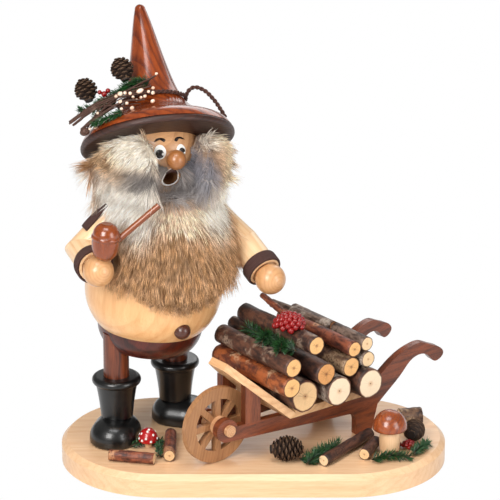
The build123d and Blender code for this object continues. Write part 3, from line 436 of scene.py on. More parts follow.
hat_up = hat_turned(0, 0, 1)
dress(wood("crown_stain", "96441A", "581F0A", hat_up, on_hat(10, 9, 0), ring_width=2.6, rings=0.55,
           fibres=0.3, wander=4.0, flames=0.45, roughness=0.18, coat=0.35, coat_roughness=0.05, bump=0.12),
      "hat_crown")
dress(wood("brim_stain", "3E1D11", "1F0B06", hat_turned(1, 0.1, 0), on_hat(0, 5, -22), ring_width=2.6,
           rings=0.5, fibres=0.4, wander=3, flames=0.3, roughness=0.5, coat=0.08), "hat_brim")


# Pipe. The acorn bowl is turned from stained beech with a bead round its
# middle, and the stem is a thin dowel in the same stain.
dress(wood("bowl_stain", "8C4117", "5E260A", (0, 0, 1), on_figure(-24, -30, 53), ring_width=2.6, rings=0.22,
           fibres=0.3, wander=2.6, flames=0.35, roughness=0.2, coat=0.7, coat_roughness=0.06), "pipe_bowl")
dress(wood("stem_stain", "904A1D", "64290B", (0.73, 0.12, 0.67), (-80, -36, 140), ring_width=1.6, rings=0.4,
           fibres=0.3, wander=1.5, flames=0.3, roughness=0.25, coat=0.5), "pipe_stem")


# Wheelbarrow. Rails with their handles and legs and the front posts are sawn
# and stained red-brown; the wheel, bed and sloped board are left pale.
barrow_foot = Vector((-21.01, -36.71, 13.0))
heading = math.radians(37.76)


def on_barrow(along, across, height):
    """World place in mm, from the axle along the barrow, towards the viewer and up."""
    return barrow_foot + Vector((along * math.cos(heading) + across * math.sin(heading),
                                 along * math.sin(heading) - across * math.cos(heading), height))


barrow_along = Vector((math.cos(heading), math.sin(heading), 0))
barrow_across = Vector((math.sin(heading), -math.cos(heading), 0))
rail_look = dict(ring_width=2.6, rings=0.16, fibres=0.5, wander=5, flames=0.6, roughness=0.36, coat=0.22)
dress(wood("rail_stain", "84401F", "48200F", barrow_along + Vector((0, 0, 0.12)), on_barrow(0, 6, -12),
           **rail_look), "near_rail", "far_rail")
dress(wood("post_stain", "8A4826", "451C0E", (0.05, 0, 1), on_barrow(14, 0, 0), **rail_look), "front_posts")
dress(wood("wheel_birch", "AC7C53", "825636", (0.2, 0.1, 1), on_barrow(6, 8, 0), ring_width=1.9, rings=0.25,
           fibres=0.35, wander=3, flames=0.3, roughness=0.45, coat=0.1), "barrow_wheel")
dress(wood("hub_birch", "D6A67C", "A0683F", barrow_across, on_barrow(1.2, 0, 22), ring_width=1.2, rings=0.5,
           fibres=0.25, wander=1, roughness=0.42, coat=0.15), "hub_rings", "wheel_axle")
dress(wood("barrow_board", "E3B788", "BE8556", barrow_across, on_barrow(30, 0, 70), ring_width=3.6, rings=0.3,
           fibres=0.3, wander=4, flames=0.3, roughness=0.42, coat=0.1), "bed_board", "front_board")


# Small turned pieces on the board. The mushroom has a glossy brown cap on a pale
# swelling stem; the toadstool is a red ball-cap with dots touched on in white.
cap_brown = wood("mushroom_cap_stain", "9A4C24", "62260F", (0.2, 0, 1), (75, -30, 30), ring_width=1.6,
                 rings=0.45, fibres=0.25, wander=2, flames=0.35, roughness=0.22, coat=0.5)
dress(wood("mushroom_stem_lime", "EEC79D", "CE9A6A", (0, 0, 1), (79, -24, 20), ring_width=1.8, rings=0.3,
           fibres=0.3, wander=2, flames=0.25), "mushroom_stem", "toadstool_stem")
red_cap, tree, shader = new_material("toadstool_red")
cloud = speckle(tree, object_at(tree), 300)
tree.links.new(mixed(tree, cloud, colour("C80F12"), colour("9E0A0E")), shader.inputs["Base Color"])
rough_and_bump(tree, shader, cloud, 0.28, 0.08)
shader.inputs["Coat Weight"].default_value = 0.5


# Cut branches of the load. Each is a real stick with its bark on: bark plates
# and cracks stand out on the sides, the rim of bark rings the pale sawn ends,
# and the ends show yearly rings, a dark heart and drying cracks.
weld_distance = 2e-7


def frame_along(way, up=(0, 0, 1)):
    """Two directions square to a way, for rings of points round it."""
    way = Vector(way).normalized()
    side = way.cross(Vector(up))
    if side.length < 0.05:
        side = way.cross(Vector((1, 0, 0)))
    side.normalize()
    return side, side.cross(way).normalized()


def level_way(angle):
    """Level direction at an angle in degrees from +X."""
    return Vector((math.cos(math.radians(angle)), math.sin(math.radians(angle)), 0))


class Pile:
    """Points in mm, faces, material numbers and UVs of small solids that become one piece."""

    def __init__(self):
        self.verts, self.faces, self.kinds, self.uvs = [], [], [], []

    def rows(self, rings, kind=0, ends=(True, True), uvs=None):
        """Skin over rings of points of equal count, closed by fans at its ends."""
        first = len(self.verts)
        count = len(rings[0])
        for row, ring in enumerate(rings):
            self.verts.extend(ring)
            self.uvs.extend(uvs[row] if uvs else [(0, 0)] * count)
        for row in range(len(rings) - 1):
            for i in range(count):
                j = (i + 1) % count
                low, high = first + row * count, first + (row + 1) * count
                self.faces.append((low + i, low + j, high + j, high + i))
                self.kinds.append(kind)
        for wanted, row, flip in ((ends[0], 0, True), (ends[1], len(rings) - 1, False)):
            if wanted:
                ring = [first + row * count + i for i in range(count)]
                self.verts.append(tuple(sum((Vector(self.verts[i]) for i in ring), Vector()) / count))
                self.uvs.append((0, 0))
                centre = len(self.verts) - 1
                for a, b in zip(ring, ring[1:] + ring[:1]):
                    self.faces.append((b, a, centre) if flip else (a, b, centre))
                    self.kinds.append(kind)

    def done(self, name, materials, smooth=True, body="lower", stands_for=(), slot=None):
        """The finished piece, which rides on a body and stands for CAD nodes."""
        mesh = bpy.data.meshes.new(name)
        mesh.from_pydata([tuple(c * MM for c in v) for v in self.verts], [], self.faces)
        mesh.polygons.foreach_set("material_index", self.kinds)
        for material in materials:
            mesh.materials.append(material)
        mesh.polygons.foreach_set("use_smooth", [smooth] * len(mesh.polygons))
        layer = mesh.uv_layers.new(name="UVMap")
        for loop in mesh.loops:
            layer.data[loop.index].uv = self.uvs[loop.vertex_index]
        shape = bmesh.new()
        shape.from_mesh(mesh)
        bmesh.ops.remove_doubles(shape, verts=shape.verts, dist=weld_distance)
        bmesh.ops.recalc_face_normals(shape, faces=shape.faces)
        shape.to_mesh(mesh)
        shape.free()
        mesh.validate()
        mesh.update()
        made = bpy.data.objects.new(name, mesh)
        bpy.context.collection.objects.link(made)
        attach(made, body)
        if stands_for:
            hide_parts(*stands_for)


bark_group, given, result = new_group(
    "bark", [("Pale", COLOUR, WHITE), ("Dark", COLOUR, BLACK), ("Patch", COLOUR, WHITE),
             ("Patch Share", FLOAT, 0.45), ("Scale", FLOAT, 1.0)], [("Color", COLOUR), ("Height", FLOAT)])
tree = bark_group
along, at = add(tree, "UVMap").outputs[0], object_at(tree)
streaks = add(tree, "TexNoise", vector(tree, "ADD", vector(tree, "MULTIPLY", along, (9, 5, 1)),
                                       vector(tree, "MULTIPLY", at, (60, 60, 60))))
streaks.inputs["Detail"].default_value = 6.0
streaks.inputs["Roughness"].default_value = 0.62
lips = add(tree, "TexNoise", vector(tree, "ADD", vector(tree, "MULTIPLY", along, (4, 46, 1)),
                                    vector(tree, "MULTIPLY", at, (40, 40, 40))))
lips.inputs["Detail"].default_value = 2.0
for drawn in (streaks, lips):
    tree.links.new(given["Scale"], drawn.inputs["Scale"])
flecks = speckle(tree, at, 900, 4.0)
base = mixed(tree, eased(tree, streaks.outputs[0], 0.38, 0.62), given["Dark"], given["Pale"])
patch_low = calc(tree, "MULTIPLY_ADD", given["Patch Share"], -0.8, 0.90)
patches = eased(tree, speckle(tree, at, 85, 3.0), patch_low, calc(tree, "ADD", patch_low, 0.08))
patches = calc(tree, "MULTIPLY", patches, eased(tree, flecks, 0.34, 0.52))
base = mixed(tree, calc(tree, "MULTIPLY", patches, 0.85), base, given["Patch"])
lip = eased(tree, lips.outputs[0], 0.60, 0.68)
base = mixed(tree, calc(tree, "MULTIPLY", lip, 0.55), base, colour("1E100B"))
crack = eased(tree, streaks.outputs[0], 0.30, 0.38)
tree.links.new(mixed(tree, crack, colour("180C08"), base), result["Color"])
height = calc(tree, "ADD", calc(tree, "MULTIPLY", streaks.outputs[0], 0.9),
              calc(tree, "MULTIPLY", flecks, 0.35))
tree.links.new(calc(tree, "SUBTRACT", height, calc(tree, "MULTIPLY", lip, 0.25)), result["Height"])


def bark_material(name, pale, dark, patch, patch_share, scale=1.0):
    """Bark whose streaks and lips run along the branch; UVs run round and along it."""
    made, tree, shader = new_material(name)
    bark = placed(tree, bark_group, pale=colour(pale), dark=colour(dark), patch=colour(patch),
                  patch_share=patch_share, scale=scale)
    tree.links.new(bark["Color"], shader.inputs["Base Color"])
    rough_and_bump(tree, shader, bark["Height"], 0.55, 0.75, spread=0.15, reach=0.6 * MM)
    shader.inputs["Coat Weight"].default_value = 0.12
    shader.inputs["Coat Roughness"].default_value = 0.3
    return made


sawn_group, given, result = new_group(
    "sawn_end", [("Pale", COLOUR, WHITE), ("Ring", COLOUR, WHITE), ("Heart", COLOUR, BLACK),
                 ("Rim", COLOUR, BLACK), ("Cracks", FLOAT, 0.5), ("Saw", FLOAT, 0.35)],
    [("Color", COLOUR), ("Height", FLOAT)])
tree = sawn_group
at = add(tree, "UVMap").outputs[0]
wobble = placed(tree, speckle_group, vector=at, stretch=(2.2, 2.2, 2.2))["Color"]
moved = vector(tree, "ADD", at, vector(tree, "MULTIPLY", wobble, (0.14, 0.14, 0)))
moved = vector(tree, "MULTIPLY", vector(tree, "SUBTRACT", moved, (0.07, 0.07, 0)), (1, 1, 0))
reach = vector(tree, "LENGTH", moved)
ring_share = 0.055
ringed = calc(tree, "FRACT", calc(tree, "DIVIDE", reach, ring_share))
late = calc(tree, "MULTIPLY", eased(tree, ringed, 0.4, 0.9),
            calc(tree, "SUBTRACT", 1.0, eased(tree, ringed, 0.9, 1.0)))
fibres = speckle(tree, object_at(tree), 2400)
rays = speckle(tree, vector(tree, "NORMALIZE", moved), (2.6, 2.6, 1.0), 1.0)
ray = calc(tree, "ABSOLUTE", calc(tree, "SUBTRACT", rays, 0.5))
ray = calc(tree, "SUBTRACT", 1.0, eased(tree, ray, 0.0, 0.018))
ray = calc(tree, "MULTIPLY", ray, calc(tree, "SUBTRACT", 1.0, eased(tree, reach, 0.25, 0.8)))
ray = calc(tree, "MULTIPLY", ray, given["Cracks"])
base = mixed(tree, calc(tree, "MULTIPLY", late, 0.5), given["Pale"], given["Ring"])
sawdust = calc(tree, "MULTIPLY", eased(tree, fibres, 0.45, 0.75), given["Saw"])
base = mixed(tree, sawdust, base, given["Ring"])
core = calc(tree, "SUBTRACT", 1.0, eased(tree, reach, 0.05, 0.30))
base = mixed(tree, calc(tree, "MULTIPLY", core, 0.65), base, given["Heart"])
pith = calc(tree, "SUBTRACT", 1.0, eased(tree, reach, 0.02, 0.07))
base = mixed(tree, pith, base, colour("3A1B0E"))
base = mixed(tree, ray, base, colour("2E150B"))
base = mixed(tree, eased(tree, reach, 0.86, 0.95), base, given["Rim"])
tree.links.new(base, result["Color"])
dips = calc(tree, "ADD", ray, calc(tree, "MULTIPLY", late, 0.3))
tree.links.new(calc(tree, "SUBTRACT", fibres, dips), result["Height"])


def sawn_material(name, pale, ring, heart, rim, cracks=0.5, saw=0.35):
    """End of a branch; its UV map runs from 0 at the heart to 1 at the bark."""
    made, tree, shader = new_material(name)
    sawn = placed(tree, sawn_group, pale=colour(pale), ring=colour(ring), heart=colour(heart),
                  rim=colour(rim), cracks=cracks, saw=saw)
    tree.links.new(sawn["Color"], shader.inputs["Base Color"])
    rough_and_bump(tree, shader, sawn["Height"], 0.62, 0.5, spread=0.1, reach=0.25 * MM)
    return made


def stick(pile, start, end, radius, bark, sawn, seed, knobs=0.055, sides=28, rows=26, taper=0.0,
          rim_share=0.13):
    """One branch: a skin that bulges and cracks, with flat sawn ends inside the bark."""
    start, end = Vector(start), Vector(end)
    way = (end - start).normalized()
    side, up = frame_along(way)
    length = (end - start).length
    turns = [2 * math.pi * s / sides for s in range(sides)]
    rings, uvs = [], []
    for row in range(rows + 1):
        share = row / rows
        centre = start.lerp(end, share)
        ring = []
        for turn in turns:
            out = side * math.cos(turn) - up * math.sin(turn)
            at = Vector((math.cos(turn) * 1.1, math.sin(turn) * 1.1, share * length / radius / 2.4))
            at += Vector((seed, seed * 1.7, 0))
            swell = noise(at * 0.7) * knobs * 1.1 + noise(at * 2.6) * knobs * 0.8
            swell += max(0, noise(Vector((at.x * 3, at.y * 3, at.z * 1.2)) * 1.5)) * knobs * 0.7
            grown = radius * (1 - knobs + swell) * (1 - taper * share)
            ring.append(tuple(centre + out * min(grown, radius)))
        rings.append(ring)
        uvs.append([(s / sides, share) for s in range(sides)])
    pile.rows(rings, bark, ends=(False, False), uvs=uvs)
    for ring, flip in ((rings[0], True), (rings[-1], False)):
        middle = sum((Vector(p) for p in ring), Vector()) / sides
        inward = way * (0.05 if flip else -0.05)
        first = len(pile.verts)
        shares = (1.0, 1 - rim_share, 0.5, 0.22)
        for share in shares:
            sink = inward if share < 1.0 else Vector()
            for turn, point in zip(turns, ring):
                pile.verts.append(tuple(middle + (Vector(point) - middle) * share + sink))
                pile.uvs.append((math.cos(turn) * share, math.sin(turn) * share))
        centre = len(pile.verts)
        pile.verts.append(tuple(middle + inward))
        pile.uvs.append((0, 0))
        for level in range(len(shares)):
            a, b = first + level * sides, first + (level + 1) * sides
            for s in range(sides):
                t = (s + 1) % sides
                face = (a + s, a + t, b + t, b + s) if level < len(shares) - 1 else (a + s, a + t, centre)
                pile.faces.append(face[::-1] if flip else face)
                pile.kinds.append(sawn)


def load_pile(*logs):
    """Branches laid across the barrow; each one's near end lies on the viewer's side."""
    pile = Pile()
    for along, height, radius, near_share, bark, sawn, seed, rim_share in logs:
        near = log_length * near_share
        stick(pile, on_barrow(along, near, height), on_barrow(along, near - log_length, height), radius,
              bark, sawn, seed, rim_share=rim_share)
    return pile


log_length = 66
sticks = [
    bark_material("bark_red", "8C4A30", "4A2117", "C08A62", 0.42),
    bark_material("bark_brown", "5E3A2A", "2C1712", "97816F", 0.42),
    bark_material("bark_grey", "7B6558", "3A261E", "B0A295", 0.50),
    bark_material("bark_flaky", "6F4F38", "33201A", "A98B6C", 0.52),
    sawn_material("end_cream", "F0D2A8", "DDB184", "C98D5C", "5A3424", cracks=0.25),
    sawn_material("end_white", "F4DFC2", "E6C6A0", "D2A273", "6A4230", cracks=0.2, saw=0.25),
    sawn_material("end_beige", "E9C595", "CF9E6B", "A66A3E", "5A3022", cracks=0.5),
    sawn_material("end_orange", "DA9F62", "BC7C43", "7A3B1E", "35170E", cracks=1.0, saw=0.45),
    sawn_material("end_gold", "F2BE80", "D69A58", "8F4F28", "4A2415", cracks=0.8),
    bark_material("bark_orange", "A2572C", "5A2815", "C9A27E", 0.44),
    # a dark sawn end, painted shade for branches that lie deep in the gaps of the pile
    sawn_material("end_painted_shade", "8A5A35", "6A4024", "4A2716", "2A150D", cracks=0.6)]
RED, BROWN, GREY, FLAKY, CREAM, CHALK, BEIGE, ORANGE, GOLD, RUST, SHADED_END = range(len(sticks))
load_pile((41.37, 38.17, 9.6, 0.43, BROWN, BEIGE, 1.3, 0.13),
          (62.27, 37.57, 9.0, 0.50, GREY, CHALK, 4.1, 0.10),
          (82.77, 37.67, 9.1, 0.54, BROWN, CHALK, 7.7, 0.09)
          ).done("bottom_branches", sticks, stands_for=("bottom_logs",), slot="brown_bark")
load_pile((28.64, 47.56, 6.1, 0.49, RUST, GOLD, 2.2, 0.10),
          (52.64, 50.25, 6.8, 0.50, BROWN, ORANGE, 9.4, 0.20),
          (72.39, 48.94, 6.1, 0.47, FLAKY, GOLD, 3.6, 0.12),
          (83.06, 51.69, 4.8, 0.50, GREY, CREAM, 5.5, 0.13)
          ).done("middle_branches", sticks, stands_for=("middle_logs",), slot="brown_bark")
# inner branches sit deep in the pile; their near ends take the dark sawn end, painted shade of the gaps
inners = Pile()
for along, height, near, far, radius, bark, seed in (
        (38.75, 52.86, 4.0, -42.0, 5.2, BROWN, 6.2), (45.93, 59.11, 3.0, -44.0, 4.2, BROWN, 8.8),
        (63.45, 56.96, 6.0, -42.0, 5.8, RED, 2.9)):
    stick(inners, on_barrow(along, near, height), on_barrow(along, far, height), radius, bark, SHADED_END, seed)
inners.done("inner_branches", sticks, stands_for=("inner_logs",), slot="brown_bark")
load_pile((29.89, 59.41, 5.7, 0.49, BROWN, GOLD, 11.2, 0.13),
          (45.59, 69.03, 5.6, 0.50, BROWN, GOLD, 13.1, 0.13)
          ).done("top_branches", sticks, stands_for=("top_logs",), slot="brown_bark")
backs = load_pile((73.69, 59.78, 4.7, 0.49, RED, GOLD, 15.6, 0.13),
                  (82.74, 60.90, 4.3, 0.49, GREY, CREAM, 17.3, 0.13))
# the thin branch at the back takes the dark sawn end too: painted shade
stick(backs, on_barrow(81.0, 4.0, 63.4), on_barrow(76.0, -46.0, 63.2), 3.0, GREY, SHADED_END, 19.9, taper=0.1)
backs.done("back_branches", sticks, stands_for=("back_logs",), slot="brown_bark")


# Crest twig. A thin crooked twig with a snapped grey tip, cut from a living bush;
# it lies over the crest of the load and is glued where it touches.
twig = Pile()
twig_start = on_barrow(52.15, 2.3, 73.63)
twig_length, twig_rise = 28, math.radians(14)
twig_end = twig_start + Vector((0, 0, twig_length * math.sin(twig_rise)))
twig_end -= barrow_across * twig_length * math.cos(twig_rise)
stick(twig, twig_start, twig_end, 2.3, RED, CREAM, 21, sides=16, rows=16, taper=0.1, knobs=0.14)
twig.done("crest_twig", sticks, stands_for=("load_twig",), slot="brown_bark")


# Short cut branches lying on the board, and a stump of thick bark peeled off a
# pale core; all glued down where they touch.
board_half_length, board_half_depth, board_thickness = 110, 58, 13


def on_board(x_share, y_share, height=0.0):
    """World place in mm over the board's top, in shares of its half sizes."""
    return Vector((x_share * board_half_length, y_share * board_half_depth, board_thickness + height))


ground = Pile()
for place, length, angle, seed, bark, sawn in (
        ((-0.622, -0.669), 26, -12, 31, RED, CREAM), ((-0.430, -0.383), 32, 90, 33, RED, BEIGE),
        ((0.480, -0.433), 47, 55, 35, BROWN, CREAM), ((0.600, -0.460), 20, 69, 37, BROWN, BEIGE)):
    half = level_way(angle) * length / 2
    middle_point = on_board(*place, 3.6)
    stick(ground, middle_point - half, middle_point + half, 3.55, bark, sawn, seed, knobs=0.09, sides=24,
          rows=20)
ground.done("ground_branches", sticks, stands_for=("ground_logs",), slot="brown_bark")
stump = Pile()
half = level_way(12) * 6.5
middle_point = on_board(0.823, 0.255, 5.65)
stick(stump, middle_point - half, middle_point + half, 5.6, FLAKY, BEIGE, 44, knobs=0.13, rim_share=0.24)
stump.done("bark_stump_piece", sticks, stands_for=("bark_stump",), slot="brown_bark")


# Fir cones. Real small cones: thick curled scales in a spiral round a spindle,
# each scale with a pale worn lip, and near black towards its root: painted shade where the scales overlap.
cone_scales, tree, shader = new_material("cone_scales")
lip = add(tree, "SeparateXYZ", add(tree, "UVMap").outputs[0]).outputs[1]
grit = speckle(tree, object_at(tree), 1300)
# scales darken to near black towards the root: painted shade where they overlap
base = mixed(tree, eased(tree, lip, 0.35, 0.95), colour("140C08"), colour("3A2517"))
base = mixed(tree, eased(tree, lip, 0.86, 1.0), base, colour("664A30"))
base = mixed(tree, calc(tree, "MULTIPLY", grit, 0.6), base, colour("2B1A12"))
tree.links.new(base, shader.inputs["Base Color"])
rough_and_bump(tree, shader, grit, 0.7, 0.4, reach=0.2 * MM)
jitter = random.Random(41)
golden_angle = 2.39996
# reach of the scales along the cone, from its stalk to its tip
cone_profile = (0.62, 0.92, 1.0, 0.92, 0.72, 0.42)
# along a scale: how far out, its half width and its half thickness, in shares
scale_steps = ((0.0, 0.45, 0.05), (0.45, 0.95, 0.09), (0.78, 1.05, 0.12), (0.94, 0.75, 0.12),
               (1.0, 0.30, 0.07))


def tube(pile, points, radii, sides=8, kind=0):
    """Round rod through points, with one radius for each of them."""
    points = [Vector(p) for p in points]
    rings, uvs, run = [], [], 0.0
    side = frame_along(points[1] - points[0])[0]
    for i, (point, radius) in enumerate(zip(points, radii)):
        way = (points[min(i + 1, len(points) - 1)] - points[max(i - 1, 0)]).normalized()
        side = (side - way * side.dot(way)).normalized()
        up = side.cross(way)
        if i:
            run += (point - points[i - 1]).length
        rings.append([tuple(point + (side * math.cos(t) + up * -math.sin(t)) * radius)
                      for t in (2 * math.pi * s / sides for s in range(sides))])
        uvs.append([(s / sides, run) for s in range(sides)])
    pile.rows(rings, kind, uvs=uvs)


def cone(pile, foot, way, length, radius, scales=66):
    """A cone from its stalk end; scales turn by the golden angle and open outwards."""
    foot, way = Vector(foot), Vector(way).normalized()
    side, up = frame_along(way)
    tube(pile, [foot + way * length * s for s in (0.02, 0.3, 0.7, 0.97)],
         [radius * s for s in (0.35, 0.5, 0.42, 0.12)])
    for number in range(scales):
        share = (number + 0.5) / scales
        spot = share * (len(cone_profile) - 1)
        low = int(spot)
        high = min(low + 1, len(cone_profile) - 1)
        reach = radius * (cone_profile[low] + (cone_profile[high] - cone_profile[low]) * (spot - low))
        turn = number * golden_angle + jitter.uniform(-0.08, 0.08)
        out = side * math.cos(turn) + up * math.sin(turn)
        aside = way.cross(out)
        lift = 0.62 - 0.75 * share
        root = foot + way * length * (0.04 + 0.86 * share) + out * reach * 0.25
        tip_at = foot + way * (length * (0.06 + 0.86 * share) + reach * 0.30) + out * reach
        normal = (way * 0.85 - out * 0.3).normalized()
        rings = []
        for go, wide, thick in scale_steps:
            point = root.lerp(tip_at, go) + way * (lift * reach * 0.16 * go * go)
            point = point - way * (reach * 0.10 * max(0, go - 0.7) / 0.3)
            half, deep = reach * 0.42 * wide, reach * thick
            rings.append([tuple(point + aside * half), tuple(point + normal * deep),
                          tuple(point - aside * half), tuple(point - normal * deep * 0.8)])
        pile.rows(rings, uvs=[[(0, go)] * 4 for go, _, _ in scale_steps])


ground_cones = Pile()
for place, angle, length, radius in (((0.172, -0.630), 8, 20, 7.6), ((0.835, -0.130), 75, 17, 6.4)):
    way = level_way(angle)
    cone(ground_cones, on_board(*place, radius + 0.05) - way * length / 2, way, length, radius * 0.985)
ground_cones.done("ground_fir_cones", [cone_scales], smooth=False, stands_for=("ground_cones",),
                  slot="cone_brown")
hat_cones = Pile()
cone_way = hat_turned(-math.sin(math.radians(10)), 0, math.cos(math.radians(10)))
for x, y, z in ((-11.5, -19.0, 33.6), (-34.0, -10.0, 27.8)):
    cone(hat_cones, on_hat(x, y, z), cone_way, 14.5, 6.7, scales=52)
hat_cones.done("hat_fir_cones", [cone_scales], smooth=False, body="upper", stands_for=("hat_cones",),
               slot="cone_brown")


# Fir greenery. Artificial sprigs: flat moulded needles set thickly round a
# brown wire, dark green with lighter tips.
needle_green, tree, shader = new_material("needle_green")
along_needle = add(tree, "SeparateXYZ", add(tree, "UVMap").outputs[0])
base = mixed(tree, eased(tree, along_needle.outputs[1], 0.1, 1.0), colour("0B2212"), colour("2C6029"))
base = mixed(tree, along_needle.outputs[0], base, colour("14361A"))
tree.links.new(base, shader.inputs["Base Color"])
shader.inputs["Roughness"].default_value = 0.42
wire_brown = wood("wire_brown", "5A3D26", "2E1C12", (0, 0, 1), (0, 0, 0), ring_width=1, roughness=0.6,
                  coat=0)
wire_radius, needle_half_width, needle_half_thickness = 0.45, 0.32, 0.14
flatness = 0.55


def fir(pile, points, reach, count, seed, low=None):
    """Needles round a stem through points; low is the height they never go under."""
    choose = random.Random(seed)
    points = [Vector(p) for p in points]
    tube(pile, points, [wire_radius] * len(points), sides=6, kind=1)
    lengths = [(b - a).length for a, b in zip(points, points[1:])]
    total = sum(lengths)
    for number in range(count):
        go = (number + choose.random()) / count * total
        index = 0
        while index < len(lengths) - 1 and go > lengths[index]:
            go -= lengths[index]
            index += 1
        way = (points[index + 1] - points[index]).normalized()
        root = points[index] + way * min(go, lengths[index])
        side, up = frame_along(way)
        turn = choose.uniform(0, 2 * math.pi)
        out = side * math.cos(turn) + up * math.sin(turn) * flatness
        lean_way = (out.normalized() * 0.9 + way * choose.uniform(0.35, 0.9)).normalized()
        tip_at = root + lean_way * (reach * choose.uniform(0.72, 1.0))
        if low is not None and tip_at.z < low:
            tip_at.z = low + choose.uniform(0, 0.3)
            lean_way = (tip_at - root).normalized()
        across = lean_way.cross(Vector((choose.uniform(-1, 1), choose.uniform(-1, 1), 1)))
        across = across.normalized() * needle_half_width
        thick = lean_way.cross(across).normalized() * needle_half_thickness
        mid = root.lerp(tip_at, 0.55) + thick * 0.8
        verts = [root + across * 0.5, root + thick, root - across * 0.5, root - thick,
                 mid + across, mid + thick, mid - across, mid - thick, tip_at]
        first = len(pile.verts)
        tone = choose.random() * 0.8
        pile.verts.extend(tuple(v) for v in verts)
        pile.uvs.extend([(tone, 0.0)] * 4 + [(tone, 0.55)] * 4 + [(tone, 1.0)])
        for i in range(4):
            j = (i + 1) % 4
            pile.faces.append((first + j, first + i, first + 4 + i, first + 4 + j))
            pile.faces.append((first + 4 + j, first + 4 + i, first + 8))
        pile.faces.append((first, first + 1, first + 2, first + 3))
        pile.kinds.extend([0] * 9)


def spray(place, length, angle, height, bow):
    """Five points of a gently bowed stem that lies on the board."""
    way = level_way(angle)
    side = Vector((-way.y, way.x, 0))
    middle_point = on_board(*place, height)
    return [middle_point + way * length * s + (side * bow + Vector((0, 0, 1.2))) * (1 - 4 * s * s)
            for s in (-0.5, -0.25, 0, 0.25, 0.5)]


greens = [needle_green, wire_brown]
ground_firs = Pile()
for place, length, angle, height, bow, reach, count, seed in (
        ((0.356, -0.564), 32, 55, 2.2, 1.0, 7.2, 420, 3), ((0.330, -0.560), 24, 30, 2.0, -1.5, 6.5, 240, 4),
        ((0.700, -0.645), 22, 10, 2.0, 0.8, 6.0, 260, 5), ((0.860, -0.430), 17, 60, 2.0, 0.5, 5.5, 220, 6),
        ((-0.484, -0.414), 22, 90, 2.2, 0.2, 4.0, 190, 7), ((-0.575, -0.300), 14, 30, 2.0, 0.2, 4.5, 120, 8)):
    fir(ground_firs, spray(place, length, angle, height, bow), reach, count, seed, low=board_thickness + 0.15)
ground_firs.done("ground_greenery", greens, smooth=False, stands_for=("ground_sprigs",), slot="fir_green")
load_fir = Pile()
crest = [on_barrow(along, across, 65.3)
         for along, across in ((37.8, 24), (37.0, 14), (37.5, 3), (36.9, -8), (37.2, -18))]
fir(load_fir, crest, 7.5, 460, 12)
fir(load_fir, [on_barrow(38, 10, 66), on_barrow(34, 16, 67.5), on_barrow(29, 21, 67)], 6.5, 160, 13)
fir(load_fir, [on_barrow(38, -4, 66), on_barrow(33, 2, 68), on_barrow(28, 6, 67.5)], 6.5, 160, 14)
load_fir.done("load_greenery", greens, smooth=False, stands_for=("load_sprig",), slot="fir_green")


# Berries. Small glossy red beads on short wires, glued in a tight bunch, with a
# dark dried eye on each.
berry_gloss, tree, shader = new_material("berry_gloss")
eye = eased(tree, add(tree, "SeparateXYZ", add(tree, "UVMap").outputs[0]).outputs[1], 0.90, 0.97)
base = mixed(tree, speckle(tree, object_at(tree), 700), colour("A2080A"), colour("660507"))
tree.links.new(mixed(tree, eye, base, colour("2A0808")), shader.inputs["Base Color"])
shader.inputs["Roughness"].default_value = 0.3
shader.inputs["Coat Weight"].default_value = 0.25


def bead(pile, middle_point, radius, way=(0, 0, 1), stretch=1.0, rows=7, sides=10):
    """Small ball; the second number of its UV map runs from 0 at one pole to 1 at the other."""
    middle_point, way = Vector(middle_point), Vector(way).normalized()
    side, up = frame_along(way)
    rings, uvs = [], []
    for row in range(rows):
        turn = math.pi * (row + 0.5) / rows
        width, height = radius * math.sin(turn), -radius * stretch * math.cos(turn)
        rings.append([tuple(middle_point + way * height + (side * math.cos(t) - up * math.sin(t)) * width)
                      for t in (2 * math.pi * s / sides for s in range(sides))])
        uvs.append([(s / sides, (row + 0.5) / rows) for s in range(sides)])
    pile.rows(rings, uvs=uvs)


def bunch(pile, foot, radius, count, wide, seed):
    """Berries heaped in a half ball of that half width over its foot."""
    choose = random.Random(seed)
    for number in range(count):
        share = (number + 0.5) / count
        turn = number * golden_angle
        rise = share ** 0.8
        reach = wide * math.sqrt(max(0.0, 1 - rise * rise)) * (1 if number else 0)
        spot = foot + Vector((math.cos(turn) * reach, math.sin(turn) * reach, radius + rise * wide * 0.85))
        out = (spot - foot).normalized() + Vector((choose.uniform(-0.3, 0.3), choose.uniform(-0.3, 0.3), 0))
        bead(pile, spot, radius * choose.uniform(0.86, 1.0), way=out, stretch=1.06)


load_reds = Pile()
bunch(load_reds, on_barrow(43.6, 10.8, 72.2), 2.0, 46, 8.2, 5)
load_reds.done("load_berry_bunch", [berry_gloss], stands_for=("load_berries",), slot="berry_red")
ground_reds = Pile()
bunch(ground_reds, on_board(0.800, -0.345, 0.1), 1.45, 15, 3.2, 6)
for x, y in ((0.742, -0.52), (0.755, -0.30)):
    bead(ground_reds, on_board(x, y, 1.6), 1.4)
ground_reds.done("ground_berry_bunch", [berry_gloss], stands_for=("ground_berries",), slot="berry_red")

# Turned caps. The caps of the mushroom and the toadstool are domes of lime, turned,
# pulled well down over their stems and glued; the dots are drops of white paint.
# Profile from under the rim to the crown, in shares of the radius and the height:
cap_profile = ((0.05, 0.06), (0.55, 0.02), (0.86, 0.0), (0.97, 0.03), (1.0, 0.10), (0.985, 0.25),
               (0.93, 0.42), (0.82, 0.60), (0.66, 0.77), (0.45, 0.90), (0.22, 0.975), (0.04, 1.0))
cap_turns = [2 * math.pi * s / 56 for s in range(56)]


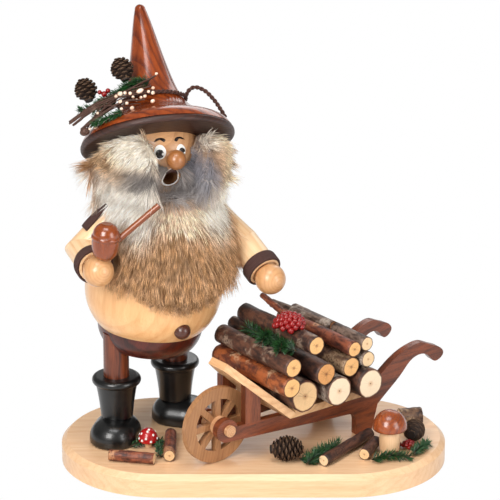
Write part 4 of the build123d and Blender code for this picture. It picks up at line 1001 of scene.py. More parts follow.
def turned_cap(name, node, material, drop, height, slot):
    """Domed cap in place of a CAD cap, its rim lower by drop; returns foot and radius."""
    spots = [v.co / MM for v in nodes[node].data.vertices]
    low = Vector([min(spot[i] for spot in spots) for i in range(3)])
    high = Vector([max(spot[i] for spot in spots) for i in range(3)])
    foot = Vector(((low.x + high.x) / 2, (low.y + high.y) / 2, low.z - drop))
    radius = (high.x - low.x) / 2
    made = Pile()
    made.rows([[(foot.x + radius * share * math.cos(t), foot.y + radius * share * math.sin(t),
                 foot.z + height * rise) for t in cap_turns] for share, rise in cap_profile])
    made.done(name, [material], stands_for=(node,), slot=slot)
    return foot, radius


brown_drop, brown_height, red_drop, red_height, dot_radius = 4.0, 11.4, 3.0, 8.1, 0.78
turned_cap("turned_mushroom_cap", "mushroom_cap", cap_brown, brown_drop, brown_height, "cap_brown")
red_foot, red_radius = turned_cap("turned_toadstool_cap", "toadstool_cap", red_cap, red_drop, red_height,
                                  "cap_red")
dots = Pile()
for turn, rise in ((-95, 0.86), (-150, 0.66), (-102, 0.42), (-48, 0.62), (10, 0.7), (120, 0.8), (-20, 0.3),
                   (-128, 0.24), (-72, 0.2), (60, 0.45), (170, 0.5), (-70, 0.95), (-160, 0.3)):
    share = [low[0] + (high[0] - low[0]) * (rise - low[1]) / (high[1] - low[1])
             for low, high in zip(cap_profile[2:], cap_profile[3:]) if low[1] <= rise <= high[1]][0]
    out = level_way(turn) * share
    spot = red_foot + out * red_radius + Vector((0, 0, rise * red_height))
    bead(dots, spot, dot_radius, way=out + Vector((0, 0, rise * 0.9)), stretch=0.5)
dot_white = painted("dot_white", "F4F1EC", 0.35, 0.3)
dots.done("toadstool_dots", [dot_white], slot="cap_red")


# Hat cord. Two dark brown strands twisted into a rope, laid round the foot of the
# crown, with a free bight that arches down to the brim on the right.
rope_brown, tree, shader = new_material("rope_brown")
fuzz = speckle(tree, object_at(tree), 2600)
base = mixed(tree, eased(tree, fuzz, 0.35, 0.65), colour("2B1611"), colour("5A3529"))
tree.links.new(base, shader.inputs["Base Color"])
rough_and_bump(tree, shader, fuzz, 0.78, 0.6, reach=0.2 * MM)


def smooth_route(points, steps=14):
    """Soft line through points."""
    points = [Vector(p) for p in points]
    last = len(points) - 1
    out = []
    for i in range(last):
        a, b, c, d = (points[min(max(i + k, 0), last)] for k in (-1, 0, 1, 2))
        for step in range(steps):
            t = step / steps
            out.append(0.5 * ((2 * b) + (c - a) * t + (2 * a - 5 * b + 4 * c - d) * t * t
                              + (3 * b - a - 3 * c + d) * t ** 3))
    out.append(points[-1])
    return out


def rope(pile, line, radius):
    """Strands twisted round a line."""
    run, at_runs = 0.0, [0.0]
    for a, b in zip(line, line[1:]):
        run += (b - a).length
        at_runs.append(run)
    steps = int(run / rope_lay * 12)
    side = None
    paths = [[] for _ in range(rope_strands)]
    index = 0
    for step in range(steps + 1):
        go = run * step / steps
        while index < len(line) - 2 and at_runs[index + 1] < go:
            index += 1
        span = at_runs[index + 1] - at_runs[index]
        point = line[index].lerp(line[index + 1], (go - at_runs[index]) / span)
        way = (line[index + 1] - line[index]).normalized()
        side = frame_along(way)[0] if side is None else (side - way * side.dot(way)).normalized()
        up = side.cross(way)
        for number, path in enumerate(paths):
            turn = 2 * math.pi * (go / rope_lay + number / rope_strands)
            path.append(point + (side * math.cos(turn) + up * math.sin(turn)) * radius * strand_offset)
    for path in paths:
        tube(pile, path, [radius * strand_thickness] * len(path))


rope_strands, rope_lay, strand_offset, strand_thickness = 2, 5.2, 0.5, 0.56
ring_radius, ring_height = 18.9, 24.9
cord_pile = Pile()
round_crown = [on_hat(ring_radius * math.cos(t), ring_radius * math.sin(t), ring_height)
               for t in (2 * math.pi * s / 90 for s in range(91))]
rope(cord_pile, round_crown, 1.15)
bight = smooth_route([on_hat(18.6, 0.4, 24.9), on_hat(21.3, 0, 28.6), on_hat(25.2, -0.4, 29.6),
                      on_hat(30.2, -0.3, 26.6), on_hat(34.6, 0, 20.4), on_hat(37.6, 0, 14.2),
                      on_hat(39.3, 0.4, 9.8)])
rope(cord_pile, bight, 1.2)
cord_pile.done("hat_rope", [rope_brown], body="upper", stands_for=("hat_cord",), slot="twisted_cord")


# Ribbon cuffs and shoulder braid. Dark brown woven ribbon with a herring-bone
# face, glued round the sleeve ends and laid over the right sleeve.
ribbon_brown, tree, shader = new_material("ribbon_brown")
weft = add(tree, "SeparateXYZ", add(tree, "UVMap").outputs[0]).outputs
thread = calc(tree, "ADD", weft[0], calc(tree, "PINGPONG", weft[1], 1.2))
thread = calc(tree, "SINE", calc(tree, "MULTIPLY", thread, 2 * math.pi / 0.85))
thread = calc(tree, "MULTIPLY_ADD", thread, 0.5, 0.5)
fuzz = speckle(tree, object_at(tree), 2200)
weave = calc(tree, "MULTIPLY", thread, calc(tree, "MULTIPLY_ADD", fuzz, 0.6, 0.7))
tree.links.new(mixed(tree, weave, colour("241311"), colour("5B3A33")), shader.inputs["Base Color"])
rough_and_bump(tree, shader, weave, 0.82, 0.7, reach=0.25 * MM)


def ribbon(pile, start, way, side, inner, outer, width, first_turn, last_turn, steps):
    """Curved strip of ribbon round an axis; UVs are in mm along and across."""
    start, way = Vector(start), Vector(way).normalized()
    side = (Vector(side) - way * Vector(side).dot(way)).normalized()
    up = way.cross(side)
    closed = last_turn - first_turn > 359
    section = [(inner, 0), (outer - 0.35, 0), (outer, 0.12), (outer + 0.05, 0.3), (outer, 0.5),
               (outer + 0.05, 0.7), (outer, 0.88), (outer - 0.35, 1), (inner, 1)]
    rings, uvs = [], []
    for step in range(steps + 1):
        turn = math.radians(first_turn + (last_turn - first_turn) * step / steps)
        out = side * math.cos(turn) + up * math.sin(turn)
        rings.append([tuple(start + out * r + way * width * w) for r, w in section])
        uvs.append([(turn * outer, width * w) for r, w in section])
    pile.rows(rings, 0, ends=(not closed, not closed), uvs=uvs)


cuff_back, cuff_width, braid_back, braid_width = 13.0, 7.0, 27.5, 18.5
cuffs = Pile()
for _, elbow, hand in arms.values():
    elbow, hand = on_figure(*elbow), on_figure(*hand)
    way = (hand - elbow).normalized()
    ribbon(cuffs, hand - way * cuff_back, way, (0, 0, 1), 9.4, 10.7, cuff_width, 0, 360, 72)
cuffs.done("ribbon_cuffs", [ribbon_brown], body="upper", stands_for=("right_cuff", "left_cuff"),
           slot="woven_ribbon")
braid = Pile()
shoulder, elbow = on_figure(*arms["right"][0]), on_figure(*arms["right"][1])
way = (elbow - shoulder).normalized()
side = figure_axes @ Vector((-1, 0, 0))
ribbon(braid, elbow - way * braid_back, way, side, 9.35, 10.6, braid_width, -50, 55, 30)
braid.done("sleeve_braid", [ribbon_brown], body="upper", stands_for=("shoulder_braid",), slot="woven_ribbon")


# Painted face. Eyes, brows and the pale rim of the mouth are brushed straight on
# the turned ball in thick enamel, so each mark is a thin raised film of paint.
head_world = on_figure(*head_middle)
paint_root = 0.25


def face_film(pile, azimuth, rise, outline, height, kind):
    """Film of paint on the ball; the outline is in mm about a centre given in degrees."""
    a, e = math.radians(azimuth), math.radians(rise)
    out = Vector((math.sin(a) * math.cos(e), -math.cos(a) * math.cos(e), math.sin(e)))
    right = Vector((0, 0, 1)).cross(out).normalized()
    up = out.cross(right).normalized()
    count = len(outline)
    middle_u = sum(p[0] for p in outline) / count
    middle_v = sum(p[1] for p in outline) / count
    rings = []
    for share, lift in ((1.0, -paint_root), (1.0, height * 0.45), (0.96, height), (0.5, height * 1.1)):
        ring = []
        for u, v in outline:
            flat_point = out * head_radius + right * (middle_u + (u - middle_u) * share)
            flat_point += up * (middle_v + (v - middle_v) * share)
            ring.append(tuple(head_world + flat_point.normalized() * (head_radius + lift)))
        rings.append(ring)
    first = len(pile.verts)
    pile.rows(rings, kind, ends=(False, True))
    pile.faces.append(tuple(first + i for i in range(count))[::-1])
    pile.kinds.append(kind)


def oval(width, height, pinch=0.0):
    """Outline of an oval, narrower at its top by a pinch share."""
    turns = [2 * math.pi * i / 28 for i in range(28)]
    return [(width * math.cos(t) * (1 - pinch * max(0, math.sin(t))), height * math.sin(t)) for t in turns]


def stroke(points, widths):
    """Outline of one brush stroke through points."""
    line = smooth_route([(x, y, 0) for x, y in points], 6)
    left, right = [], []
    for i, point in enumerate(line):
        way = (line[min(i + 1, len(line) - 1)] - line[max(i - 1, 0)]).normalized()
        spot = i / (len(line) - 1) * (len(widths) - 1)
        low = min(int(spot), len(widths) - 2)
        width = widths[low] + (widths[low + 1] - widths[low]) * (spot - low)
        left.append((point.x - way.y * width, point.y + way.x * width))
        right.append((point.x + way.y * width, point.y - way.x * width))
    return right + left[::-1]


eye_white = painted("eye_white", "F6F3EE", 0.3, 0.5, bump=0.05)
eye_black = painted("eye_black", "1B100C", 0.22, 0.7, bump=0.05)
rim_white = painted("rim_white", "EFE9E1", 0.4, 0.3, bump=0.08)
face_marks = Pile()
face_film(face_marks, 3.3, 16.2, oval(3.45, 4.15, 0.10), 0.10, 0)
face_film(face_marks, 35.5, 15.3, oval(3.05, 3.65, 0.10), 0.10, 0)
face_film(face_marks, 2.8, 13.6, oval(2.35, 2.5), 0.20, 1)
face_film(face_marks, 36.6, 13.2, oval(2.15, 2.3), 0.20, 1)
face_film(face_marks, 7.4, 13.0, oval(0.62, 0.7), 0.30, 0)
face_film(face_marks, 40.2, 11.2, oval(0.5, 0.55), 0.30, 0)
face_film(face_marks, 3.0, 32.5, stroke([(-3.1, -0.9), (-1.7, 0.6), (0.3, 0.9), (2.0, 0.3), (2.9, -0.5)],
                                       [0.15, 0.35, 0.55, 0.85, 0.75]), 0.12, 1)
face_film(face_marks, 37.5, 30.8, stroke([(-2.9, -0.5), (-2.2, 0.5), (-0.6, 1.1), (1.2, 0.9), (3.1, -0.6)],
                                        [0.75, 0.85, 0.5, 0.35, 0.15]), 0.12, 1)
face_marks.done("painted_face", [eye_white, eye_black, rim_white], body="upper", slot="skin_wood")
# dark film round the bore: painted shade that carries the dark of the open mouth up under the nose, where the
# bore does not reach
mouth_shade_film = painted("mouth_shade_film", "3C1C13", 0.6, 0.1)
mouth_rim = Pile()


def mouth_band(profile, kind):
    """Band of paint round the mouth; profile gives a reach for each turn, and a lift."""
    rings = []
    for step in range(49):
        t = 2 * math.pi * step / 48
        ring = []
        for reach_at, lift in profile:
            reach = reach_at(t)
            spot = mouth_at + (mouth_side * math.cos(t) + mouth_up * math.sin(t)) * reach - head_world
            flat_spot = spot - mouth_way * spot.dot(mouth_way)
            deep = math.sqrt(max(0.0, (head_radius + lift) ** 2 - flat_spot.length_squared))
            ring.append(tuple(head_world + flat_spot + mouth_way * deep))
        rings.append(ring)
    mouth_rim.rows(rings, kind, ends=(False, False))


def pear(t):
    """Outline of the open mouth, drawn up to a blunt point under the nose."""
    return 4.35 + 2.1 * max(0.0, math.sin(t)) ** 3 - 0.25 * abs(math.cos(t)) * (math.sin(t) > 0)


def rim_width(t):
    """The rim is narrow over the mouth and widens below it."""
    return 0.25 + 0.95 * (0.5 - 0.5 * math.sin(t)) ** 0.8


# the inner band is that dark film of painted shade, the outer one the white rim
mouth_band(((lambda t: 4.12, -0.5), (lambda t: 4.14, 0.10), (lambda t: pear(t) + 0.05, 0.12),
            (lambda t: pear(t) + 0.05, -0.4)), 1)
mouth_band(((lambda t: pear(t) - 0.02, -0.4), (pear, 0.16), (lambda t: pear(t) + rim_width(t) * 0.5, 0.3),
            (lambda t: pear(t) + rim_width(t), 0.16), (lambda t: pear(t) + rim_width(t) + 0.05, -0.4)), 0)
mouth_rim.done("mouth_rim", [rim_white, mouth_shade_film], body="upper", slot="skin_wood")


# Hat trimmings. Fir sprigs, a bundle of thin dark twigs wired to the crown, and
# on their ends small cream wax buds; three red berries sit between the cones.
hat_green = Pile()
for stops, reach, count, seed in (
        (((1.5, -19.5, 31.5), (-6, -19.5, 31.5), (-13, -17.5, 30.8)), 5.6, 300, 21),
        (((-10.4, -18.2, 30.5), (-21.4, -13.5, 28), (-29, -13, 24.5)), 5.6, 330, 22),
        (((-24, -15, 24.5), (-32, -15, 22.0), (-39.5, -14.5, 22.5)), 5.0, 240, 23),
        (((-13.5, -38.0, 10.5), (-21, -36.5, 9.3), (-31, -32.0, 7.8)), 4.2, 260, 24),
        (((-18, -24, 21), (-25, -24.5, 17), (-31, -24.5, 14)), 4.2, 150, 25)):
    fir(hat_green, [on_hat(*stop) for stop in stops], reach, count, seed)
hat_green.done("hat_greenery", greens, smooth=False, body="upper", stands_for=("hat_sprigs",),
               slot="fir_green")
twig_bark = bark_material("twig_bark", "6B4636", "2C1710", "8A6E5C", 0.3, scale=2.5)
twig_bundle = Pile()
choose = random.Random(77)


def strayed(amount):
    """Small random step, in mm along each axis of the hat."""
    return Vector([choose.uniform(-amount, amount) for _ in range(3)])


# each bundle: its foot, its middle and its tip; the first three have a thick twig
bundles = [((-39, -25, 8), (-14, -24.9, 24.5), (6, -22.5, 33)),
           ((-45, -24.3, 13), (-24, -27.8, 21.5), (2.5, -26.8, 26)),
           ((-37, -28, 8), (-16, -31, 17.5), (-1.5, -31, 17.5)),
           ((-36, -26, 5.5), (-24, -28.5, 17), (-9, -28, 23)),
           ((-43, -25, 11), (-26, -28, 18), (-8, -30, 14)),
           ((-30, -28, 12), (-18, -29, 21), (3, -28.5, 22))]
for number, stops in enumerate(bundles):
    foot, middle_point, tip_at = (Vector(stop) for stop in stops)
    for copy in range(3 if number < 3 else 2):
        shift = strayed(1) * (1.3 if copy else 0)
        reach = choose.uniform(0.86, 1.0) if copy else 1.0
        line = smooth_route([foot + shift * 0.6, middle_point + shift * 1.2,
                             middle_point.lerp(tip_at, reach) + shift * 1.5], 9)
        line = [p + strayed(0.16) for p in line]
        thick = 0.85 if copy == 0 and number < 3 else choose.uniform(0.38, 0.6)
        radii = [thick * (1.0 - 0.45 * i / len(line)) for i in range(len(line))]
        tube(twig_bundle, [on_hat(*p) for p in line], radii, sides=7)
bead(twig_bundle, on_hat(-37.0, -27.4, 5.6), 2.3, rows=8, sides=12, way=(1, 0, 0.4), stretch=1.25)
twig_bundle.done("hat_twig_bundle", [twig_bark], body="upper", stands_for=("hat_twigs",), slot="brown_bark")
bud_cream, tree, shader = new_material("bud_cream")
cloud = eased(tree, speckle(tree, object_at(tree), 500), 0.35, 0.65)
tree.links.new(mixed(tree, cloud, colour("F6E3CF"), colour("E3B79A")), shader.inputs["Base Color"])
shader.inputs["Roughness"].default_value = 0.3
shader.inputs["Coat Weight"].default_value = 0.4
buds = Pile()
for x, y, z, radius, stretch in (
        (-3.6, -29.0, 23.5, 1.35, 1.6), (-14.7, -29.7, 23.4, 1.35, 1.1), (-11.9, -29.5, 23.5, 1.0, 1),
        (-9.2, -29.2, 22.9, 1.05, 1), (1.0, -28.5, 22.5, 0.95, 1), (3.8, -28.8, 24.1, 0.95, 1),
        (3.3, -28.1, 21.5, 1.1, 1), (-1.3, -28.1, 20.3, 1.0, 1), (-3.6, -28.1, 20.0, 0.85, 1),
        (2.6, -28.3, 16.7, 1.1, 1.2), (-15.0, -31.2, 18.3, 1.2, 1), (-11.4, -31.8, 16.8, 1.0, 1),
        (-14.7, -33.2, 13.6, 0.9, 1), (-8.9, -32.2, 13.4, 1.2, 1), (-28.4, -29.3, 14.4, 0.85, 1),
        (-30.7, -28.8, 6.8, 0.95, 1.4), (-25.8, -30.3, 8.2, 0.9, 1.3), (-34.1, -28.0, 6.6, 0.7, 1.3),
        (-7.9, -28.6, 20.8, 0.85, 1), (-17.1, -29.5, 22.4, 1.0, 1), (-6.1, -29.5, 18.4, 0.9, 1),
        (6.2, -23.4, 33.6, 0.8, 1.2)):
    bead(buds, on_hat(x, y, z), radius, way=hat_turned(1, 0, 0.3), stretch=stretch)
buds.done("hat_buds", [bud_cream], body="upper", stands_for=("hat_beads",), slot="bead_cream")
hat_reds = Pile()
for x, y, z, radius in ((-24.5, -18.5, 28.3, 1.7), (-22.3, -17.5, 30.2, 1.4), (-27.0, -17.5, 30.0, 1.3)):
    bead(hat_reds, on_hat(x, y, z), radius)
hat_reds.done("hat_berries", [berry_gloss], body="upper", slot="berry_red")


# Fur. Beard, whiskers and hair are pieces of natural long-haired pelt glued on:
# an undercoat close to the hide, and over it guard hairs in small locks, brown at
# the sides, white at the cheeks, slate grey and cream round the mouth.
mouth_depth = 20.5
face_u, face_n, face_v = np.array(mouth_side), np.array(mouth_way), np.array(mouth_up)
mouth_np = np.array(mouth_at + mouth_way * mouth_depth)
head_np = np.array(head_world)
figure_np = np.array(figure_foot)
figure_rows = np.array(figure_axes).T
# middle across and up, half width, half height, colour and strength of each zone
fur_zones = [(-46, 2, 15, 34, "A27247", 1.0), (-34, 12, 8, 10, "C9AA84", 0.7),
             (44, -2, 12, 26, "B08A66", 0.75), (7, -20, 18, 8.0, "F3D2B6", 1.0),
             (-23, -12, 13.0, 18, "F6F0E6", 1.0), (28, -13, 11.5, 16, "F4EDE0", 1.0),
             (-22, 18, 12, 8, "F4E9D8", 0.95), (18, 27, 14, 7, "F2E8DA", 0.95),
             (31, 12, 8, 16, "DDC4A8", 0.9), (-19, 5.0, 12.5, 6.0, "837D7A", 1.0),
             (15.0, 5, 6.5, 12, "8A888F", 1.0), (3, -9.0, 12, 4.5, "A09B9A", 0.95),
             (-6, 0, 7, 6, "A8A29E", 0.9), (9, -2, 7, 7, "9C9898", 0.9)]


def display_colour(code):
    """The three linear numbers of a display code, as an array."""
    return np.array(colour(code)[:3])


def face_spots(points):
    """Distances in mm across and up from the mouth."""
    away = points - mouth_np
    return away @ face_u, away @ face_v


def fur_colours(points):
    """Pelt colour at points in mm, from soft zones round the mouth."""
    u, v = face_spots(points)
    grizzle = np.sin(u * 0.9 + v * 0.35) * 0.5 + np.sin(u * 0.31 - v * 0.52 + 1.7) * 0.5
    base = display_colour("B8916C") + np.outer(grizzle * 0.035, np.ones(3))
    for zone_u, zone_v, wide, tall, code, strength in fur_zones:
        spread = ((u - zone_u) / wide) ** 2 + ((v - zone_v) / tall) ** 2
        weight = strength / (1 + np.exp((np.sqrt(spread) - 1.0) * 6.0))
        base = base * (1 - weight[:, None]) + display_colour(code) * weight[:, None]
    return base, u, v


fur_coat, tree, shader = new_material("fur_coat")
tint = add(tree, "Attribute", attribute_name="tint").outputs["Color"]
fluff = speckle(tree, object_at(tree), 1900)
tree.links.new(mixed(tree, calc(tree, "MULTIPLY", fluff, 0.25), tint, colour("8C6A4C"), "MULTIPLY"),
               shader.inputs["Base Color"])
rough_and_bump(tree, shader, fluff, 0.9, 0.5, reach=0.4 * MM)
shader.inputs["Specular IOR Level"].default_value = 0.1
fur_hair, tree, shader = new_material("fur_hair")
tint = add(tree, "Attribute", attribute_name="tint").outputs["Color"]
tree.links.new(tint, shader.inputs["Base Color"])
shader.inputs["Roughness"].default_value = 0.55
shader.inputs["Specular IOR Level"].default_value = 0.04
# painted light: the hairs glow faintly in their own colour, standing in for light that wanders from hair to
# hair, which the solid strands would swallow
tree.links.new(tint, shader.inputs["Emission Color"])
shader.inputs["Emission Strength"].default_value = 0.12


def tinted(mesh, colours):
    """Store one colour for each point of a mesh."""
    layer = mesh.color_attributes.new("tint", "FLOAT_COLOR", "POINT")
    rgba = np.ones((len(mesh.vertices), 4), np.float32)
    rgba[:, :3] = np.clip(colours, 0, 1)
    layer.data.foreach_set("color", rgba.ravel())


pelt_step, hide_depth = 1.15, 0.4
roots, normals = [], []
for node in ("beard", "hair"):
    source = bpy.data.objects.new("under_" + node, nodes[node].data.copy())
    bpy.context.collection.objects.link(source)
    grid = source.modifiers.new("even", "REMESH")
    grid.mode = "VOXEL"
    grid.voxel_size = pelt_step * MM
    bpy.context.view_layer.update()
    evened = bpy.data.meshes.new_from_object(source.evaluated_get(bpy.context.evaluated_depsgraph_get()))
    source.modifiers.clear()
    bpy.data.objects.remove(source)
    count = len(evened.vertices)
    spots, ways = np.empty(count * 3, np.float32), np.empty(count * 3, np.float32)
    evened.vertices.foreach_get("co", spots)
    evened.vertices.foreach_get("normal", ways)
    spots, ways = spots.reshape(-1, 3) / MM, ways.reshape(-1, 3)
    across, above = face_spots(spots)
    inset = np.full(len(spots), 2.6)
    if node == "hair":
        beside = np.clip((np.abs(across) - 28.0) / 14.0, 0, 1)
        inset = 4.0 + 6.5 * beside * np.clip((above + 14.0) / 8.0, 0, 1)
    roots.append(spots - ways * inset[:, None])
    normals.append(ways)
    evened.vertices.foreach_set("co", ((spots - ways * (inset[:, None] + hide_depth)) * MM).ravel())
    evened.materials.clear()
    evened.materials.append(fur_coat)
    evened.polygons.foreach_set("use_smooth", [True] * len(evened.polygons))
    tinted(evened, fur_colours(spots)[0] * 0.8)
    coat = bpy.data.objects.new(node + "_undercoat", evened)
    bpy.context.collection.objects.link(coat)
    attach(coat, "upper")
    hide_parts(node)
roots, normals = np.vstack(roots), np.vstack(normals)

dice = np.random.default_rng(7)
figure_axis_at = figure_np + np.outer((roots - figure_np) @ figure_rows[2], figure_rows[2])
outward = roots - figure_axis_at
outward /= np.linalg.norm(outward, axis=1)[:, None] + 1e-6
facing_out = (np.einsum("ij,ij->i", normals, outward) > -0.25) | ((roots - head_np) @ face_n > 4.0)
roots, normals = roots[facing_out], normals[facing_out]
# whiskers also grow from the bare wood round the mouth and at the temples
patch = np.array([(dice.uniform(-14.5, 14.5), dice.uniform(-13.5, 17.0)) for _ in range(9000)])
pu, pv = patch[:, 0], patch[:, 1]
near_mouth = np.hypot(pu, pv - 0.6) < 6.4
side_share = np.abs(pu) / 14.0
under_nose = pv > 5.5 + 5.5 * side_share
temple = (side_share > 0.93) | ((pu > 11.8) & (pv > 0))
patch = patch[~near_mouth & (~under_nose | temple)]
spots = mouth_np - face_n * mouth_depth + patch[:, :1] * face_u + patch[:, 1:] * face_v
flat_off = spots - head_np
flat_off -= np.outer(flat_off @ face_n, face_n)
depth = np.sqrt(np.maximum(0.0, head_radius ** 2 - (flat_off ** 2).sum(1)))
spots = head_np + flat_off + np.outer(depth, face_n)
spots = spots[(flat_off ** 2).sum(1) < (head_radius - 1) ** 2]
lock_count, face_locks, hairs_in_lock, hairs_in_face_lock = 5600, 1500, 10, 7
lock_stray, hair_stray, lock_spread = 0.20, 0.09, 0.75
root_u, root_v = face_spots(roots)
by_face = ((roots - head_np) @ face_n > 0) & (np.abs(root_u) < 27) & (root_v > -16)
chance = np.where(by_face, 2.6, 1.0)
lock_roots = dice.choice(len(roots), lock_count, replace=True, p=chance / chance.sum())
lock_at = np.vstack([roots[lock_roots], spots[dice.choice(len(spots), face_locks)]])
lock_normal = np.vstack([normals[lock_roots], (lock_at[lock_count:] - head_np) / head_radius])
on_face = np.arange(len(lock_at)) >= lock_count
per_lock = np.where(on_face, hairs_in_face_lock, hairs_in_lock)
lock_id = np.repeat(np.arange(len(lock_at)), per_lock)
hair_count = len(lock_id)
lock_noise = dice.normal(0, lock_stray, (len(lock_at), 3))


def combed_way(points, ways, noise_part):
    """Direction in which the pelt is combed at points."""
    u, v = face_spots(points)
    from_nose = np.stack([u, v - 9.0], 1)
    from_nose /= np.linalg.norm(from_nose, axis=1)[:, None] + 1e-6
    pull = np.clip(1.0 - np.hypot(u, v - 4) / 46.0, 0.0, 1.0)
    way_u = from_nose[:, 0] * (0.35 + 0.9 * pull) * np.clip(1.0 - (np.abs(u) - 24.0) / 16.0, -0.15, 1.0)
    way_v = from_nose[:, 1] * (0.15 + 0.55 * pull) - (1.15 - 0.75 * pull)
    way = np.outer(way_u, face_u) + np.outer(way_v, face_v) + noise_part
    way -= np.einsum("ij,ij->i", way, ways)[:, None] * ways
    way /= np.linalg.norm(way, axis=1)[:, None] + 1e-6
    lift = 0.20 + 0.10 * (1 - pull) + 0.22 * (np.hypot(u, v) < 24)
    way += ways * lift[:, None]
    return way / np.linalg.norm(way, axis=1)[:, None]


lock_way = combed_way(lock_at, lock_normal, lock_noise)
lock_u, lock_v = face_spots(lock_at)
lock_length = np.where(on_face, 13.5, 12.0) + dice.uniform(-2.0, 2.0, len(lock_at))
lock_length = np.where(lock_v < -55, 5.5, lock_length)
lock_length = np.where((np.abs(lock_u) > 32) & (lock_v > -8), 9.0, lock_length)
lock_length += np.where((lock_v < 4) & (lock_v > -30) & (np.abs(lock_u) > 10), 4.0, 0.0)
start = lock_at[lock_id] + dice.normal(0, lock_spread, (hair_count, 3))
offset = start - lock_at[lock_id]
length = lock_length[lock_id] * dice.uniform(0.75, 1.1, hair_count)
own_way = lock_way[lock_id] + dice.normal(0, hair_stray, (hair_count, 3))
own_way /= np.linalg.norm(own_way, axis=1)[:, None]
# rods and balls that hairs stay out of: both ends, and the radius
blocks = [(on_figure(*a), on_figure(*b), r) for a, b, r in (
    (arms["right"][0], arms["right"][1], 9.8), (arms["right"][1], arms["right"][2], 9.7),
    (arms["left"][0], arms["left"][1], 9.7), (arms["left"][1], arms["left"][2], 9.7),
    ((-34.5, -21.3, 50.0), (-29.5, -42.0, 48.0), 11.1), ((54.0, 4.5, 46.8), (60.5, -4.0, 41.0), 11.1),
    ((-28.6, -47.5, 55.0), (-28.6, -47.5, 72.0), 8.6))]
blocks += [(on_figure(*hand), on_figure(*hand) + Vector((0, 0, 0.1)), 9.0) for _, _, hand in arms.values()]
stem_foot = on_figure(-25.6, -47.0, 61.5)
stem_way = figure_axes @ (level_way(10) + Vector((0, 0, 1))) * math.cos(math.radians(45))
blocks.append((stem_foot, stem_foot + stem_way * 35.5, 2.15))
blocks.append((head_world, head_world + Vector((0, 0, 0.1)), 23.25))
blocks.append((Vector((-44.3, -16.0, 185.3)), Vector((-44.3, -16.0, 185.2)), 5.9))
# outline of the jacket: shares of its greatest radius and of its height
torso_shares = ([0.770, 0.890, 0.974, 1.0, 0.985, 0.925, 0.822, 0.690, 0.520, 0.330],
                [0.0, 0.079, 0.184, 0.290, 0.470, 0.630, 0.763, 0.868, 0.947, 1.0])
torso_radius, torso_height, brim_reach = 39.0, 76.0, 45.5
hat_np = np.array(on_hat(0, 0, 0))
hat_up_np = np.array(hat_up)


def cleared(points):
    """Points pushed out of the wood that the pelt lies against."""
    for a, b, radius in blocks:
        a, b = np.array(a), np.array(b)
        line = b - a
        share = np.clip((points - a) @ line / (line @ line), 0, 1)
        gap = points - (a + share[:, None] * line)
        far = np.linalg.norm(gap, axis=1) + 1e-6
        push = np.maximum(0, radius - far)
        points = points + gap / far[:, None] * push[:, None]
    local = (points - figure_np) @ figure_rows.T
    body = np.interp(local[:, 2] / torso_height, torso_shares[1], torso_shares[0]) * torso_radius + 0.3
    body = np.where((local[:, 2] < 0) | (local[:, 2] > torso_height + 2), 0, body)
    reach = np.hypot(local[:, 0], local[:, 1]) + 1e-6
    grown = np.maximum(reach, body) / reach
    local[:, 0] *= grown
    local[:, 1] *= grown
    points = figure_np + local @ figure_rows
    rise = (points - hat_np) @ hat_up_np
    under = np.linalg.norm(points - hat_np - np.outer(rise, hat_up_np), axis=1) < brim_reach
    return points - np.outer(np.where(under, np.maximum(0, rise + 0.5), 0), hat_up_np)


knots, steps = 5, []
droop = np.array((0, 0, -1.0))
for step in range(knots):
    t = step / (knots - 1)
    line = start - offset * 0.35 * t + own_way * (length * t)[:, None]
    line += droop * (length * 0.16 * t * t)[:, None]
    steps.append(cleared(line))
steps = np.stack(steps, 1)
base, hair_u, hair_v = fur_colours(steps[:, 2])
hair_tone = dice.normal(1.0, 0.13, hair_count)
lock_tone = 1 + dice.normal(0, 0.10, len(lock_at))
base = base * (hair_tone * lock_tone[lock_id])[:, None]
brownness = np.clip((base[:, 0] - base[:, 2]) * 5 - 0.45, 0, 1)
keep_hair = ~((np.hypot(hair_u, hair_v) < 6.2) & (((steps[:, 2] - head_np) @ face_n) > 0))
# no hair hangs over the eyes and the brow
for knot in range(1, knots):
    over_u, over_v = face_spots(steps[:, knot])
    in_front = (steps[:, knot] - mouth_np) @ face_n > -12
    keep_hair &= ~((over_u > -13.0) & (over_u < 10.5) & (over_v > 8.5) & (over_v < 22) & in_front)


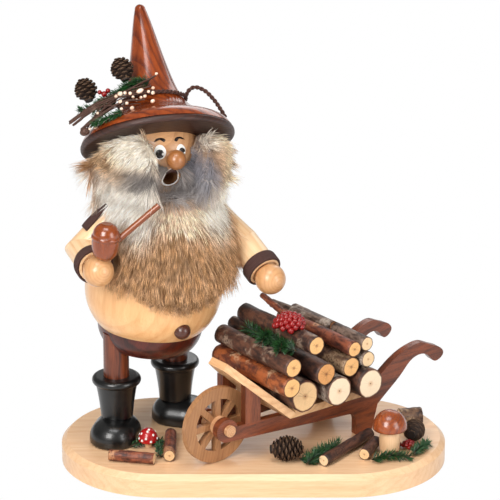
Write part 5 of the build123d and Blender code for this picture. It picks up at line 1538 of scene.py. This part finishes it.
def hair_piece(name, pick):
    """One closed mesh of many tapering three-sided hairs."""
    line = steps[pick]
    count = len(line)
    way = line[:, -1] - line[:, 0]
    way /= np.linalg.norm(way, axis=1)[:, None] + 1e-6
    side = np.cross(way, np.array((0.31, -0.84, 0.45)))
    side /= np.linalg.norm(side, axis=1)[:, None] + 1e-6
    up = np.cross(side, way)
    verts, tints = [], []
    for knot in range(knots - 1):
        t = knot / (knots - 1)
        width = root_radius * (1 - 0.55 * t)
        shade = 0.84 + 0.22 * t
        dark_band = 0.25 < t < 0.55 or t < 0.2
        ticked = 1.0 + brownness[pick] * (0.5 if t > 0.55 else -0.42 * dark_band)
        for corner in range(3):
            turn = 2 * math.pi * corner / 3
            verts.append(line[:, knot] + (side * math.cos(turn) + up * math.sin(turn)) * width)
            tints.append(base[pick] * shade * ticked[:, None])
    verts.append(line[:, -1])
    tints.append(base[pick] * (1.08 - 0.4 * brownness[pick][:, None]))
    each = len(verts)
    verts = np.stack(verts, 1).reshape(-1, 3) * MM
    tints = np.stack(tints, 1).reshape(-1, 3)
    loops = []
    for knot in range(knots - 2):
        for c in range(3):
            a, b = knot * 3 + c, knot * 3 + (c + 1) % 3
            loops += [(a, b + 3, b), (a, a + 3, b + 3)]
    last = (knots - 2) * 3
    loops += [(last + c, each - 1, last + (c + 1) % 3) for c in range(3)]
    loops.append((0, 1, 2))
    faces = (np.array(loops)[None] + (np.arange(count) * each)[:, None, None]).reshape(-1, 3)
    mesh = bpy.data.meshes.new(name)
    mesh.vertices.add(len(verts))
    mesh.vertices.foreach_set("co", verts.astype(np.float32).ravel())
    mesh.loops.add(faces.size)
    mesh.loops.foreach_set("vertex_index", faces.astype(np.int32).ravel())
    mesh.polygons.add(len(faces))
    mesh.polygons.foreach_set("loop_start", np.arange(0, faces.size, 3, dtype=np.int32))
    mesh.polygons.foreach_set("use_smooth", np.ones(len(faces), bool))
    mesh.update(calc_edges=True)
    mesh.materials.append(fur_hair)
    tinted(mesh, tints)
    made = bpy.data.objects.new(name, mesh)
    bpy.context.collection.objects.link(made)
    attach(made, "upper")


root_radius = 0.145
order = np.flatnonzero(keep_hair)
order = order[np.argsort(hair_v[order])]
for number, part in enumerate(np.array_split(order, 8)):
    hair_piece("fur_hairs_%d" % (number + 1), part)
